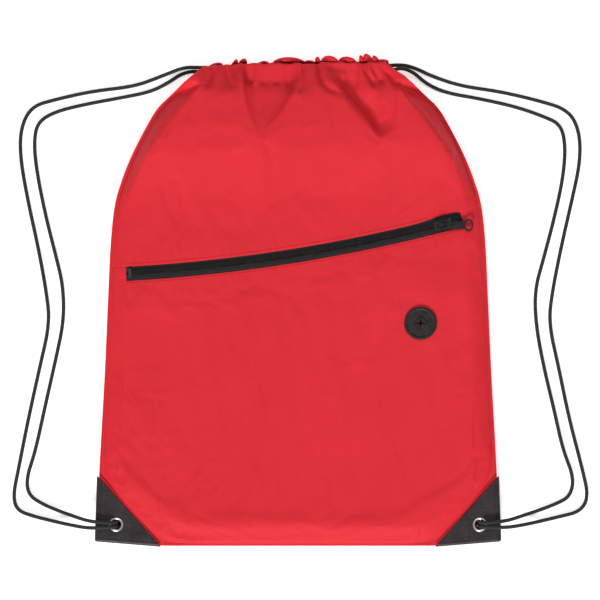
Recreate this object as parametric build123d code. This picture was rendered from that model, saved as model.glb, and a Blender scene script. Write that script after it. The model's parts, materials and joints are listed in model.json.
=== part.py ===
from build123d import *
import os
from math import cos, degrees, pi, radians, sin, tan

os.makedirs("parts", exist_ok=True)

# A drawstring backpack lying on its back, in millimetres. +X is to its right and
# +Y towards its mouth; the front panel faces +Z. The origin is under the middle
# of the bag, on the surface that it lies on.

# ---- driving dimensions ----
SHEET = 0.8  # fabric thickness
TOP = 207.4  # mouth edge
BOTTOM = -206.4  # bottom seam
SEAM_Z = 10.0  # underside of the pocket lining, where the side seams meet
FRONT_Z = 17.6  # outer face of the front
WALL = 1.1  # sideways thickness of the sloping sides
BACK_FOOT, BACK_RIM = 14.0, 4.0  # how far the back's flat and its rim stand in from the seam
FRONT_CROWN, FRONT_RIM = 10.5, 3.0  # the same for the front
SLIT_X, SLIT_Y = 62.0, 186.0  # the side seams stop here, below the casings

CASING_X, CASING_Y = 66.0, 188.0  # half length and lower edge of the drawcord casings
CASING_WALL, CASING_H = 1.0, 5.2

ZIP_CENTRE = (-222.2, 1402.2)  # the zipper is an arc of a large circle
ZIP_R = 1380.0
ZIP_LEFT, ZIP_RIGHT = 3.15, 15.23  # its ends, degrees from straight below that centre
ZIP_SLOT = 6.0  # half width of the gap between the panels
TAPE_IN, TAPE_OUT, TAPE_T = 0.6, 13.5, 0.6
COIL_IN, COIL_OUT, COIL_H = 0.6, 2.8, 2.2
SLIDER_ANGLE = 14.44  # the slider at rest, closed
SLIDER_L, SLIDER_W, PLATE_T, GAP = 12.5, 9.4, 1.2, 0.3
SKIRT_IN = COIL_OUT + GAP
POST_L, POST_W = 2.6, 0.6
BRIDGE_L, BRIDGE_W, BRIDGE_LEG, BRIDGE_H, BRIDGE_T = 6.8, 2.4, 1.0, 2.4, 1.0
STOP_L = 2.5

PULL_TILT = 4.0  # degrees, nose down at rest
PULL_BAR_R, PULL_T, PULL_W = 0.65, 1.0, 7.0
PULL_EYE, PULL_EYE_W = 4.8, 4.8  # reach and width of the eye round the bridge
PULL_STRAP, PULL_RING_X, PULL_RING_Y = 18.6, 8.2, 10.8
PULL_HOLE_X, PULL_HOLE_Y = 5.4, 7.4

PORT = (104.3, -17.8)
PORT_R, PORT_T, PORT_RIM, PORT_RIM_H = 14.0, 1.2, 2.5, 0.8
NECK_R, NECK_BORE, NECK_DROP = 9.9, 7.6, 1.4
RING_R = 13.0
SLIT_ARM, SLIT_GAP = 6.0, 0.3  # the four flaps between the arms of the slit
FLAP_UNDERCUT = 1.0  # lets a flap swing outward past its neighbours

PATCH_SIDE, PATCH_CORNER, PATCH_FOOT = (-171.0, -149.5), (-172.0, -202.6), (-117.4, -207.4)
PATCH_T = 1.0
GROMMET = (155.0, -189.5)
HOLE_R, BARREL_R, FLANGE_R, FLANGE_H, WASHER_R, ROLL_R = 3.8, 4.3, 6.4, 1.4, 6.6, 5.4
WASHER_T, ROLL_T = 0.8, 0.4
KNOT_R, KNOT_FILLET = 7.5, 2.4

CORD_D = 3.2
STRAND_GAP = 1.7  # each strand's distance from the middle of the hole

# ---- levels worked out from them ----
BACK_FLANGE = SEAM_Z - SHEET
LINING_TOP = SEAM_Z + SHEET
FLANGE_TOP = LINING_TOP + SHEET
FRONT_IN = FRONT_Z - SHEET
TAPE_Z = FRONT_IN - TAPE_T
COIL_TOP = FRONT_IN + COIL_H
PLATE_Z = COIL_TOP + GAP
PLATE_TOP = PLATE_Z + PLATE_T
PATCH_LOW, PATCH_TOP = BACK_FLANGE - PATCH_T, FLANGE_TOP + PATCH_T
KNOT_H = PATCH_LOW - WASHER_T - ROLL_T
BACK_CORD_Z = SHEET + (CASING_H - CASING_WALL) / 2
FRONT_CORD_Z = FRONT_IN - (CASING_H - CASING_WALL) / 2
CHAMFER = tan(radians(22.5))  # how a 45 degree corner moves as its sides move in


# ---- outlines ----
def fabric_outline(z):
    """The whole bag, seam edge to seam edge, at one height."""
    with BuildSketch(Plane.XY.offset(z)) as face:
        with BuildLine():
            Line((0, BOTTOM), (-112, BOTTOM))
            ThreePointArc((-112, BOTTOM), (-145, -204), (-170, -200.9))
            ThreePointArc((-170, -200.9), (-164.5, -57), (-155, 87.4))
            ThreePointArc((-155, 87.4), (-130.5, 148.4), (-85, 196.4))
            Line((-85, 196.4), (-77, TOP))
            Line((-77, TOP), (0, TOP))
            mirror(about=Plane.YZ)
        make_face()
    return face.sketch


def tray_outline(inset, z, top=TOP):
    """The same with its bottom corners cut off, drawn in at the sides and the bottom."""
    foot = (-117 + CHAMFER * inset, BOTTOM + inset)
    knee = (-168.5 + inset, -150.7 + CHAMFER * inset)
    hip = (-155 + inset, 87.2)
    shoulder = (-85 + 0.7 * inset, 196.4 - 0.7 * inset)
    corner = (-77 + 0.2 * inset, top)
    with BuildSketch(Plane.XY.offset(z)) as face:
        with BuildLine():
            Line((0, BOTTOM + inset), foot)
            Line(foot, knee)
            ThreePointArc(knee, (-163.9 + inset, -40), hip)
            ThreePointArc(hip, (-130.5 + 0.85 * inset, 148.4 - 0.53 * inset), shoulder)
            Line(shoulder, corner)
            Line(corner, (0, top))
            mirror(about=Plane.YZ)
        make_face()
    return face.sketch


def block(x0, y0, z0, x1, y1, z1):
    """A box from its two corners."""
    middle = Pos((x0 + x1) / 2, (y0 + y1) / 2, (z0 + z1) / 2)
    return middle * Box(x1 - x0, y1 - y0, z1 - z0)


def disc(radius, z0, z1, centre=(0, 0)):
    """A round plate between two heights."""
    return Pos(*centre, z0) * extrude(Circle(radius), z1 - z0)


def both_sides(make):
    """The left and the right one of a pair, from a maker that takes -1 or 1."""
    return (("left", make(-1)), ("right", make(1)))


# ---- the zipper's circle ----
def zip_sector(inner, outer, start, end, z0, z1):
    """A curved strip: from inner to outer off the chain's middle, + towards the bottom."""
    turn = end - start
    with BuildSketch(Plane.XY.offset(z0)) as strip:
        with BuildLine():
            near = CenterArc(ZIP_CENTRE, ZIP_R + inner, start - 90, turn)
            far = CenterArc(ZIP_CENTRE, ZIP_R + outer, start - 90, turn)
            Line(near @ 0, far @ 0)
            Line(near @ 1, far @ 1)
        make_face()
    return extrude(strip.sketch, z1 - z0)


def zip_degrees(length):
    """The angle of a length along the chain."""
    return degrees(length / ZIP_R)


def on_zip(angle, z=0.0):
    """The place of something that points along the chain at this angle."""
    x = ZIP_CENTRE[0] + ZIP_R * sin(radians(angle))
    y = ZIP_CENTRE[1] - ZIP_R * cos(radians(angle))
    return Pos(x, y, z) * Rot(0, 0, angle)


def above_zip(offset, z0, z1):
    """The side of the circle towards the mouth, from z0 to z1."""
    return disc(ZIP_R + offset, z0, z1, ZIP_CENTRE)


# ---- panels ----
def side_slits(z0, z1):
    """Where the side seams are open beside the mouth, for the drawcords."""
    reach, past = 100.0, 10.0
    left = block(-reach, SLIT_Y, z0, -SLIT_X, TOP + past, z1)
    return left + mirror(left, about=Plane.YZ)


def back_panel():
    walls = loft([tray_outline(BACK_FOOT, 0), tray_outline(BACK_RIM, BACK_FLANGE)], ruled=True)
    flange = extrude(fabric_outline(BACK_FLANGE), SHEET)
    past = TOP + 5
    floor = tray_outline(BACK_FOOT + WALL, SHEET, past)
    rim = tray_outline(BACK_RIM + WALL, SEAM_Z, past)
    return walls + flange - loft([floor, rim], ruled=True) - side_slits(SHEET, SEAM_Z)


def front_hollow():
    """The space under the front panels, running out through the mouth."""
    past = TOP + 5
    rim = tray_outline(FRONT_RIM + WALL, LINING_TOP, past)
    crown = tray_outline(FRONT_CROWN + WALL, FRONT_IN, past)
    return loft([rim, crown], ruled=True)


def front_shell():
    rim = tray_outline(FRONT_RIM, FLANGE_TOP)
    crown = tray_outline(FRONT_CROWN, FRONT_Z)
    flange = extrude(fabric_outline(LINING_TOP), SHEET)
    return loft([rim, crown], ruled=True) + flange - front_hollow() - side_slits(SEAM_Z, FRONT_IN)


def front_upper_panel(shell):
    upper = shell & above_zip(-ZIP_SLOT, SEAM_Z, FRONT_Z)
    hem = extrude(fabric_outline(SEAM_Z), SHEET) & above_zip(-TAPE_OUT, SEAM_Z, LINING_TOP)
    hollow = extrude(tray_outline(FRONT_RIM + WALL, SEAM_Z, TOP + 5), SHEET)
    return upper + (hem - hollow - side_slits(SEAM_Z, LINING_TOP))


def pocket_front_panel(shell):
    lower = shell - above_zip(-ZIP_SLOT, SEAM_Z, FRONT_Z)
    slot = zip_sector(-ZIP_SLOT, ZIP_SLOT, ZIP_LEFT, ZIP_RIGHT, SEAM_Z, FRONT_Z)
    return lower - slot - disc(NECK_R, SEAM_Z, FRONT_Z, PORT)


def pocket_lining():
    sheet = extrude(fabric_outline(SEAM_Z), SHEET) - above_zip(-TAPE_OUT, SEAM_Z, LINING_TOP)
    rise = zip_sector(-TAPE_OUT, SHEET - TAPE_OUT, 0, 18, LINING_TOP, TAPE_Z)
    return sheet + (rise & front_hollow())


def casing(z0, open_below):
    """A strip with its edges sewn to the panel: a flat tunnel for the drawcords."""
    outer = block(-CASING_X, CASING_Y, z0, CASING_X, TOP, z0 + CASING_H)
    low = z0 if open_below else z0 + CASING_WALL
    tunnel = block(
        -CASING_X,
        CASING_Y + CASING_WALL,
        low,
        CASING_X,
        TOP - CASING_WALL,
        low + CASING_H - CASING_WALL,
    )
    return outer - tunnel


# ---- zipper ----
def tape(side):
    edges = sorted((side * TAPE_IN, side * TAPE_OUT))
    return zip_sector(*edges, ZIP_LEFT, ZIP_RIGHT, TAPE_Z, FRONT_IN)


BOTTOM_STOP = ZIP_LEFT + zip_degrees(2)
CHAIN_START = BOTTOM_STOP + zip_degrees(STOP_L)
CHAIN_END = SLIDER_ANGLE + zip_degrees(SLIDER_L / 2 + GAP)
SLIDER_TRAVEL = SLIDER_ANGLE - CHAIN_START - zip_degrees(SLIDER_L / 2 + GAP)


def coil(side):
    edges = sorted((side * COIL_IN, side * COIL_OUT))
    return zip_sector(*edges, CHAIN_START, CHAIN_END, FRONT_IN, COIL_TOP)


def top_stops():
    end = CHAIN_END + zip_degrees(STOP_L)
    overhang, height = 1.2, COIL_TOP + 0.3
    upper = zip_sector(-COIL_OUT - overhang, -COIL_IN, CHAIN_END, end, FRONT_IN, height)
    lower = zip_sector(COIL_IN, COIL_OUT + overhang, CHAIN_END, end, FRONT_IN, height)
    return Compound([upper, lower])


def bottom_stop():
    overhang, height = 1.0, COIL_TOP + 0.3
    half = COIL_OUT + overhang
    return zip_sector(-half, half, BOTTOM_STOP, CHAIN_START, FRONT_IN, height)


def slider_plate(z0, z1):
    """A slider's wing, wide at the open end and narrower behind."""
    half, tail, nose = SLIDER_W / 2, SLIDER_W / 2 - 0.9, 3.6
    with BuildSketch(Plane.XY.offset(z0)) as plate:
        with BuildLine():
            Polyline(
                (-SLIDER_L / 2, -tail),
                (SLIDER_L / 6, -half),
                (SLIDER_L / 2, -nose),
                (SLIDER_L / 2, nose),
                (SLIDER_L / 6, half),
                (-SLIDER_L / 2, tail),
                close=True,
            )
        make_face()
        fillet(plate.vertices(), 1.0)
    return extrude(plate.sketch, z1 - z0)


def zipper_slider():
    low_top = TAPE_Z - GAP
    skirt_z = FRONT_IN + GAP
    room = block(-SLIDER_L, -SKIRT_IN, skirt_z, SLIDER_L, SKIRT_IN, PLATE_Z)
    top = slider_plate(skirt_z, PLATE_TOP) - room
    bottom = slider_plate(low_top - PLATE_T, low_top)
    post_x = SLIDER_L / 2 - POST_L - 1.0
    post = block(post_x, -POST_W / 2, low_top, post_x + POST_L, POST_W / 2, PLATE_Z)
    half, rise = BRIDGE_L / 2, PLATE_TOP + BRIDGE_H
    arch = block(-half, -BRIDGE_W / 2, PLATE_TOP, half, BRIDGE_W / 2, rise + BRIDGE_T)
    ends = arch.edges().filter_by(Axis.Y).group_by(Axis.Z)[-1]
    arch = fillet(ends, 1.4)
    inside = half - BRIDGE_LEG
    arch -= block(-inside, -BRIDGE_W, PLATE_TOP, inside, BRIDGE_W, rise)
    return on_zip(SLIDER_ANGLE) * (top + bottom + post + arch)


PULL_AXIS = on_zip(SLIDER_ANGLE).position + Vector(0.4, 0, PLATE_TOP + 0.6 + PULL_BAR_R)


def zipper_pull_tab():
    """Eye, strap and ring in one flat moulding, drawn along +X from its bar."""
    half = PULL_T / 2
    middle = PULL_STRAP + PULL_RING_X / 2
    eye_end = PULL_EYE + 1.0
    strap = Pos(PULL_STRAP / 2, 0) * RectangleRounded(PULL_STRAP, PULL_W, 0.6)
    ring = Pos(middle, 0) * Ellipse(PULL_RING_X / 2, PULL_RING_Y / 2)
    neck = Pos(PULL_STRAP - 0.5, 0) * Rectangle(4, PULL_W)
    hole = Pos(middle + 0.1, 0) * Ellipse(PULL_HOLE_X / 2, PULL_HOLE_Y / 2)
    eye = Pos((PULL_EYE - 2) / 2, 0) * Rectangle(PULL_EYE + 2, PULL_EYE_W)
    flat = Pos(0, 0, -half) * extrude(strap + ring + neck - hole - eye, PULL_T)
    bar = Rot(90, 0, 0) * Cylinder(PULL_BAR_R, PULL_W)
    grip_z = half + 0.3
    grip = Pos((eye_end + PULL_STRAP) / 2, 0, 0) * Box(
        PULL_STRAP - eye_end - 2, PULL_W - 1.6, 2 * grip_z
    )
    return Pos(PULL_AXIS) * Rot(0, PULL_TILT, 0) * (flat + bar + grip)


# ---- earbud port ----
def slit_square(size):
    """A square standing on its corner, over the port's middle."""
    return Pos(*PORT) * Rot(0, 0, 45) * Rectangle(size, size)


PORT_FACE = FRONT_Z + PORT_T
SLIT_SIDE = SLIT_ARM * 2 ** 0.5


def port_body():
    plate = disc(PORT_R, FRONT_Z, PORT_FACE, PORT)
    rim = disc(PORT_R, PORT_FACE, PORT_FACE + PORT_RIM_H, PORT) - disc(
        PORT_R - PORT_RIM, PORT_FACE, PORT_FACE + PORT_RIM_H, PORT
    )
    neck_z = FRONT_IN - NECK_DROP
    neck = disc(NECK_R, neck_z, FRONT_Z, PORT) - disc(NECK_BORE, neck_z, FRONT_Z, PORT)
    window = Pos(0, 0, FRONT_Z) * extrude(slit_square(SLIT_SIDE), PORT_T)
    return plate + rim + neck - window


def port_backing_ring():
    low = FRONT_IN - NECK_DROP
    return disc(RING_R, low, FRONT_IN, PORT) - disc(NECK_R, low, FRONT_IN, PORT)


def port_flap(angle):
    """One of four flaps, on the side of the slit that faces this angle, undercut at its edges."""
    reach = SLIT_SIDE / 2 - SLIT_GAP / 2
    top_half = reach - SLIT_GAP
    faces = []
    for z, half in ((0, top_half - FLAP_UNDERCUT), (PORT_T, top_half)):
        with BuildSketch(Plane.XY.offset(z)) as flap:
            with BuildLine():
                Polyline((reach - half, 0), (reach, half), (reach, -half), close=True)
            make_face()
        faces.append(flap.sketch)
    return Pos(*PORT, FRONT_Z) * Rot(0, 0, angle) * loft(faces, ruled=True)


FLAPS = {
    "port_flap_upper_right": 45,
    "port_flap_upper_left": 135,
    "port_flap_lower_left": 225,
    "port_flap_lower_right": 315,
}


# ---- corners ----
def corner_patch(side):
    """A coated-fabric envelope round one bottom corner, open towards the bag."""
    with BuildSketch() as leaf:
        with BuildLine():
            Polyline(PATCH_SIDE, PATCH_CORNER, PATCH_FOOT, close=True)
        make_face()
        fillet(leaf.vertices().sort_by(Axis.X)[0], 0.8)
    edge = 0.8
    with BuildSketch() as inside:
        with BuildLine():
            Polyline(
                (PATCH_SIDE[0] + edge, PATCH_SIDE[1]),
                (PATCH_CORNER[0] + edge, PATCH_CORNER[1] + edge),
                (PATCH_FOOT[0], PATCH_FOOT[1] + edge),
                (PATCH_FOOT[0] + 20, PATCH_FOOT[1] + edge),
                (PATCH_SIDE[0] + edge, PATCH_SIDE[1] + 20),
                close=True,
            )
        make_face()
    shell = Pos(0, 0, PATCH_LOW) * extrude(leaf.sketch, PATCH_TOP - PATCH_LOW)
    shell -= Pos(0, 0, BACK_FLANGE) * extrude(inside.sketch, FLANGE_TOP - BACK_FLANGE)
    shell -= disc(BARREL_R, PATCH_LOW, PATCH_TOP, (-GROMMET[0], GROMMET[1]))
    return shell if side < 0 else mirror(shell, about=Plane.YZ)


def eyelet(side):
    """The front half of a grommet, with its barrel rolled over at the back."""
    barrel_foot = PATCH_LOW - WASHER_T - ROLL_T
    flange = disc(FLANGE_R, PATCH_TOP, PATCH_TOP + FLANGE_H)
    flange = fillet(flange.edges().group_by(Axis.Z)[-1], 0.9)
    barrel = disc(BARREL_R, barrel_foot, PATCH_TOP)
    roll = disc(ROLL_R, barrel_foot, barrel_foot + ROLL_T)
    bore = disc(HOLE_R, barrel_foot, PATCH_TOP + FLANGE_H)
    body = flange + barrel + roll - bore
    return Pos(side * GROMMET[0], GROMMET[1]) * body


def eyelet_washer(side):
    low = PATCH_LOW - WASHER_T
    ring = disc(WASHER_R, low, PATCH_LOW) - disc(BARREL_R, low, PATCH_LOW)
    return Pos(side * GROMMET[0], GROMMET[1]) * ring


def cord_knot(side):
    """Both ends of one drawcord, tied in one knot under the corner."""
    puck = disc(KNOT_R, 0, KNOT_H)
    puck = fillet(puck.edges(), KNOT_FILLET)
    return Pos(side * GROMMET[0], GROMMET[1]) * puck


def holed(solid):
    """The sewn corners, punched for the two grommets."""
    for side in (-1, 1):
        solid -= disc(BARREL_R, 0, FRONT_Z, (side * GROMMET[0], GROMMET[1]))
    return solid


# ---- drawcords ----
# Each cord leaves its knot, comes up through the grommet, runs out and up beside
# the bag, along one casing, back along the other and down to the same knot.
FLOOR = 1.7
OVER = PATCH_TOP + 4.1
LEFT_CORD = [
    (-155, GROMMET[1] - STRAND_GAP, KNOT_H),
    (-155, GROMMET[1] - STRAND_GAP, OVER),
    (-165, -191.7, OVER + 0.2),
    (-178, -192.3, OVER - 0.4),
    (-191, -190.8, 8),
    (-207, -187.8, FLOOR),
    (-226, -183.2, FLOOR),
    (-240.5, -178, FLOOR),
    (-243.8, -165.5, FLOOR),
    (-239.3, -143.5, FLOOR),
    (-231.8, -105, FLOOR),
    (-221.5, -58, FLOOR),
    (-212.3, -18, FLOOR),
    (-215.5, 10, FLOOR),
    (-222.3, 47, FLOOR),
    (-231, 86, FLOOR),
    (-237.8, 124, FLOOR),
    (-237.3, 149, FLOOR),
    (-228, 167.6, FLOOR),
    (-207, 173.6, FLOOR),
    (-176, 180.6, FLOOR),
    (-140, 184.6, FLOOR),
    (-117, 193.2, 2),
    (-98, 200.6, 8.5),
    (-84, 200.6, 14.2),
    (-62, 200.5, FRONT_CORD_Z),
    (-30, 201.4, FRONT_CORD_Z),
    (2, 201.8, FRONT_CORD_Z),
    (34, 201.4, FRONT_CORD_Z),
    (59, 200.5, FRONT_CORD_Z),
    (73, 199.8, FRONT_CORD_Z),
    (73, 193.2, BACK_CORD_Z),
    (59, 192.4, BACK_CORD_Z),
    (34, 191.7, BACK_CORD_Z),
    (2, 191.4, BACK_CORD_Z),
    (-30, 191.8, BACK_CORD_Z),
    (-62, 193, BACK_CORD_Z),
    (-86, 198.2, 2.8),
    (-99, 196.1, 2.1),
    (-111, 187.8, FLOOR),
    (-126, 180, FLOOR),
    (-151, 175, FLOOR),
    (-182, 169.4, FLOOR),
    (-208, 163, FLOOR),
    (-222.8, 154, FLOOR),
    (-226, 137, FLOOR),
    (-223.6, 112, FLOOR),
    (-216, 74, FLOOR),
    (-207, 39, FLOOR),
    (-201, 14, FLOOR),
    (-200.3, -16, FLOOR),
    (-207.5, -50, FLOOR),
    (-217, -92, FLOOR),
    (-224.8, -128, FLOOR),
    (-232.5, -151, FLOOR),
    (-230.5, -165, FLOOR),
    (-218, -173, FLOOR),
    (-203, -179, 2.6),
    (-190, -183.2, 8),
    (-178, -186.4, OVER - 0.4),
    (-165, -187.6, OVER + 0.2),
    (-155, GROMMET[1] + STRAND_GAP, OVER),
    (-155, GROMMET[1] + STRAND_GAP, KNOT_H),
]
RIGHT_CORD = [
    (155, GROMMET[1] - STRAND_GAP, KNOT_H),
    (155, GROMMET[1] - STRAND_GAP, OVER),
    (165, -191.5, OVER + 0.2),
    (178, -191.7, OVER - 0.4),
    (191, -190.3, 8),
    (206, -187.6, FLOOR),
    (224, -183.3, FLOOR),
    (241.5, -179, FLOOR),
    (248.6, -166.5, FLOOR),
    (242.8, -141, FLOOR),
    (231.5, -98, FLOOR),
    (223, -56, FLOOR),
    (214.4, -18, FLOOR),
    (217.5, 9, FLOOR),
    (225.5, 49, FLOOR),
    (233.8, 85, FLOOR),
    (241.5, 120, FLOOR),
    (240.7, 147, FLOOR),
    (231, 164.8, FLOOR),
    (204, 173, FLOOR),
    (172, 180.4, FLOOR),
    (139, 185, FLOOR),
    (115, 193.2, FLOOR),
    (99, 201, 2.1),
    (86, 203.6, 2.8),
    (62, 200.8, BACK_CORD_Z),
    (30, 201.6, BACK_CORD_Z),
    (-2, 202, BACK_CORD_Z),
    (-34, 201.6, BACK_CORD_Z),
    (-59, 200.6, BACK_CORD_Z),
    (-73, 199.8, BACK_CORD_Z),
    (-73, 193.2, FRONT_CORD_Z),
    (-59, 192.4, FRONT_CORD_Z),
    (-34, 191.7, FRONT_CORD_Z),
    (-2, 191.4, FRONT_CORD_Z),
    (30, 191.8, FRONT_CORD_Z),
    (62, 192.6, FRONT_CORD_Z),
    (74.5, 193.6, 14.6),
    (86, 200.4, 14),
    (98, 197, 8.4),
    (110, 186.6, 2),
    (127, 179, FLOOR),
    (154, 174.4, FLOOR),
    (186, 167.4, FLOOR),
    (210, 159, FLOOR),
    (224.6, 152.2, FLOOR),
    (228.8, 135, FLOOR),
    (227, 108, FLOOR),
    (220, 75, FLOOR),
    (210.3, 38, FLOOR),
    (202.6, 11, FLOOR),
    (203.3, -18, FLOOR),
    (209.6, -53, FLOOR),
    (219.5, -94, FLOOR),
    (226.5, -126, FLOOR),
    (236, -150, FLOOR),
    (233, -166, FLOOR),
    (220.5, -172.6, FLOOR),
    (204, -178.6, 2.6),
    (190.5, -182.6, 8),
    (178, -186, OVER - 0.4),
    (165, -187.4, OVER + 0.2),
    (155, GROMMET[1] + STRAND_GAP, OVER),
    (155, GROMMET[1] + STRAND_GAP, KNOT_H),
]


def corner_radii(points):
    """For each bend, the largest arc that its two runs have room for."""
    radii = []
    for before, here, after in zip(points, points[1:], points[2:]):
        arrive, leave = Vector(here) - Vector(before), Vector(after) - Vector(here)
        turn = arrive.get_angle(leave)
        radii.append(0.45 * min(arrive.length, leave.length) / tan(radians(turn / 2)))
    return radii


def drawcord(name, points):
    radii = corner_radii(points)
    path = FilletPolyline(*points, radius=radii)
    tube = sweep(Plane(origin=path @ 0, z_dir=path % 0) * Circle(CORD_D / 2), path=path)
    section = pi * CORD_D ** 2 / 4
    print(name, "length", round(path.length, 1), "arc radii", [round(r, 1) for r in radii])
    print(name, "volume over section times length", round(tube.volume / section / path.length, 4))
    return tube


def main():
    shell = front_shell()
    parts = {
        "back_panel": holed(back_panel()),
        "front_upper_panel": front_upper_panel(shell),
        "pocket_front_panel": holed(pocket_front_panel(shell)),
        "pocket_lining": holed(pocket_lining()),
        "back_hem_casing": casing(SHEET, open_below=True),
        "front_hem_casing": casing(FRONT_IN - CASING_H, open_below=False),
        "upper_zipper_tape": tape(-1),
        "lower_zipper_tape": tape(1),
        "upper_zipper_coil": coil(-1),
        "lower_zipper_coil": coil(1),
        "zipper_top_stops": top_stops(),
        "zipper_bottom_stop": bottom_stop(),
        "zipper_slider": zipper_slider(),
        "zipper_pull_tab": zipper_pull_tab(),
        "port_body": port_body(),
        "port_backing_ring": port_backing_ring(),
        "left_drawcord": drawcord("left drawcord", LEFT_CORD),
        "right_drawcord": drawcord("right drawcord", RIGHT_CORD),
    }
    for name, angle in FLAPS.items():
        parts[name] = port_flap(angle)
    for name, make in (
        ("corner_patch", corner_patch),
        ("eyelet", eyelet),
        ("eyelet_washer", eyelet_washer),
        ("cord_knot", cord_knot),
    ):
        for side, solid in both_sides(make):
            parts[f"{side}_{name}"] = solid
    for name, solid in parts.items():
        export_step(solid, f"parts/{name}.step")
    print("slider travel", round(SLIDER_TRAVEL, 3), "degrees; pull axis", PULL_AXIS)


main()
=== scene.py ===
import json
from math import cos, pi, radians, sin

import bpy
import numpy as np
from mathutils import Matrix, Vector
from mathutils.bvhtree import BVHTree


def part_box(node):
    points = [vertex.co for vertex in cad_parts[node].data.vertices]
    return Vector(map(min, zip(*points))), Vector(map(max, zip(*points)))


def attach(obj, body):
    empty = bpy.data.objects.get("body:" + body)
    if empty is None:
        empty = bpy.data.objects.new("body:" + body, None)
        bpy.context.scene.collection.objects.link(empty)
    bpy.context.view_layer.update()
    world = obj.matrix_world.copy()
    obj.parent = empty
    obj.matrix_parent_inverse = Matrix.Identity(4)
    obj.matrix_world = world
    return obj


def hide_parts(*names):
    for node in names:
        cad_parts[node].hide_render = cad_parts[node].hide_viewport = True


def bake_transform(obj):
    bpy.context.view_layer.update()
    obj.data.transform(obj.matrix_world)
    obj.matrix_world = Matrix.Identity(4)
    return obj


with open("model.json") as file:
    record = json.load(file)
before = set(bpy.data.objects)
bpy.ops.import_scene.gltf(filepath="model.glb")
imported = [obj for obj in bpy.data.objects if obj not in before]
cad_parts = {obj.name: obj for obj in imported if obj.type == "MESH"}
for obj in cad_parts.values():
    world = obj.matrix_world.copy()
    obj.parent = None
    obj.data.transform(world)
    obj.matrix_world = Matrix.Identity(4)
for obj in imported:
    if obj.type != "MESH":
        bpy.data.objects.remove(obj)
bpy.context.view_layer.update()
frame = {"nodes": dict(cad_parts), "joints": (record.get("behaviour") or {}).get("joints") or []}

# The looks of a drawstring backpack that lies on its back. Sizes and places below
# are in millimetres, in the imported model's frame, and become metres in make_mesh().
MM = 0.001
SEED = 11


def box_mm(node):
    """The lowest and highest corners of a CAD node, in millimetres."""
    low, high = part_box(node)
    return np.array(low) / MM, np.array(high) / MM


def middle_mm(node):
    """The middle of a CAD node's box, in millimetres."""
    low, high = box_mm(node)
    return (low + high) / 2


# ---- the frame's levels and places ----
FRONT_Z = box_mm("front_upper_panel")[1][2]
SEAM_Z = box_mm("pocket_lining")[0][2] + 0.4
FRONT_SEAM, BACK_SEAM = SEAM_Z + 0.5, SEAM_Z - 0.5
FRONT_MID, BACK_MID = FRONT_Z - 0.4, 0.35  # the middles of the two big sheets
TAPE_LOW, TAPE_HIGH = box_mm("upper_zipper_tape")[0][2], box_mm("upper_zipper_tape")[1][2]
COIL_TOP = box_mm("upper_zipper_coil")[1][2]
PORT = middle_mm("port_body")
GROMMETS = {side: middle_mm(f"{side}_eyelet") for side in ("left", "right")}
CLOTH = 0.35  # thickness of the polyester

# ---- the bag's outline, right half ----
OUTLINE = [
    (172.0, -202.0), (168.9, -133.0), (164.9, -61.0), (162.2, 0.0), (159.8, 50.0), (156.4, 82.0),
    (150.8, 102.4), (142.9, 122.8), (132.8, 143.2), (121.0, 163.7), (109.2, 175.8), (97.6, 186.0),
    (86.0, 196.2), (79.0, 202.2), (75.6, 207.4), (70.0, 218.0),
]
FOOT_ARC = ((112.0, -207.7), (145.0, -205.6), (171.0, -202.2))
FLANGE = 2.6  # width of the flat sewn edge
HEM_Y = 188.0  # stitch line of the drawcord casings
FRONT_HEM_Y = 203.6  # the front layer's folded edge
MOUTH_HALF = 79  # half the mouth's width
HEM_CLOSES = 0.86  # share of a hem's way down after which its inner layer nears the outer one

# ---- the zipper, an arc of a large circle ----
ZIP_CENTRE = next(j for j in frame["joints"] if j["name"] == "zipper_travel")["pos_m"]
ZIP_X, ZIP_Y = ZIP_CENTRE[0] / MM, ZIP_CENTRE[1] / MM
ZIP_R = 1380.0
ZIP_LEFT, ZIP_RIGHT = 3.15, 15.23  # its ends, degrees from straight below the centre
ZIP_SLOT = 6.0
TAPE_IN, TAPE_OUT = 0.6, 13.5


# ---- meshes ----
def make_mesh(name, points, faces, material, smooth=True):
    """A new piece from points in millimetres."""
    mesh = bpy.data.meshes.new(name)
    mesh.from_pydata((np.asarray(points, float).reshape(-1, 3) * MM).tolist(), [], faces)
    mesh.materials.append(material)
    mesh.polygons.foreach_set("use_smooth", [smooth] * len(mesh.polygons))
    mesh.update()
    piece = bpy.data.objects.new(name, mesh)
    bpy.context.scene.collection.objects.link(piece)
    return piece


def grid_faces(rows, columns, round_rows=False, round_columns=False, start=0):
    """Four-sided faces of a grid of points, which may close on itself either way."""
    faces = []
    for i in range(rows if round_rows else rows - 1):
        below, above = start + i * columns, start + (i + 1) % rows * columns
        for j in range(columns if round_columns else columns - 1):
            k = (j + 1) % columns
            faces.append((below + j, below + k, above + k, above + j))
    return faces


def coordinates(piece):
    """A mesh's points in millimetres."""
    points = np.empty(len(piece.data.vertices) * 3, np.float32)
    piece.data.vertices.foreach_get("co", points)
    return points.reshape(-1, 3).astype(float) / MM


def set_coordinates(piece, points):
    """Moves a mesh's points to these, in millimetres."""
    piece.data.vertices.foreach_set("co", (np.asarray(points) * MM).astype(np.float32).ravel())
    piece.data.update()


def apply_modifiers(piece):
    """Keeps the shape that a piece's modifiers give it."""
    graph = bpy.context.evaluated_depsgraph_get()
    graph.update()
    mesh = bpy.data.meshes.new_from_object(piece.evaluated_get(graph))
    piece.modifiers.clear()
    piece.data = mesh
    return piece


def thicken(piece, thickness, offset=0.0):
    """Gives a sheet its thickness: about its middle at offset 0, below its face at -1."""
    solid = piece.modifiers.new("Thickness", "SOLIDIFY")
    solid.thickness = thickness * MM
    solid.offset = offset
    apply_modifiers(piece)
    piece.data.set_sharp_from_angle(angle=radians(50))
    return piece


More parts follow.
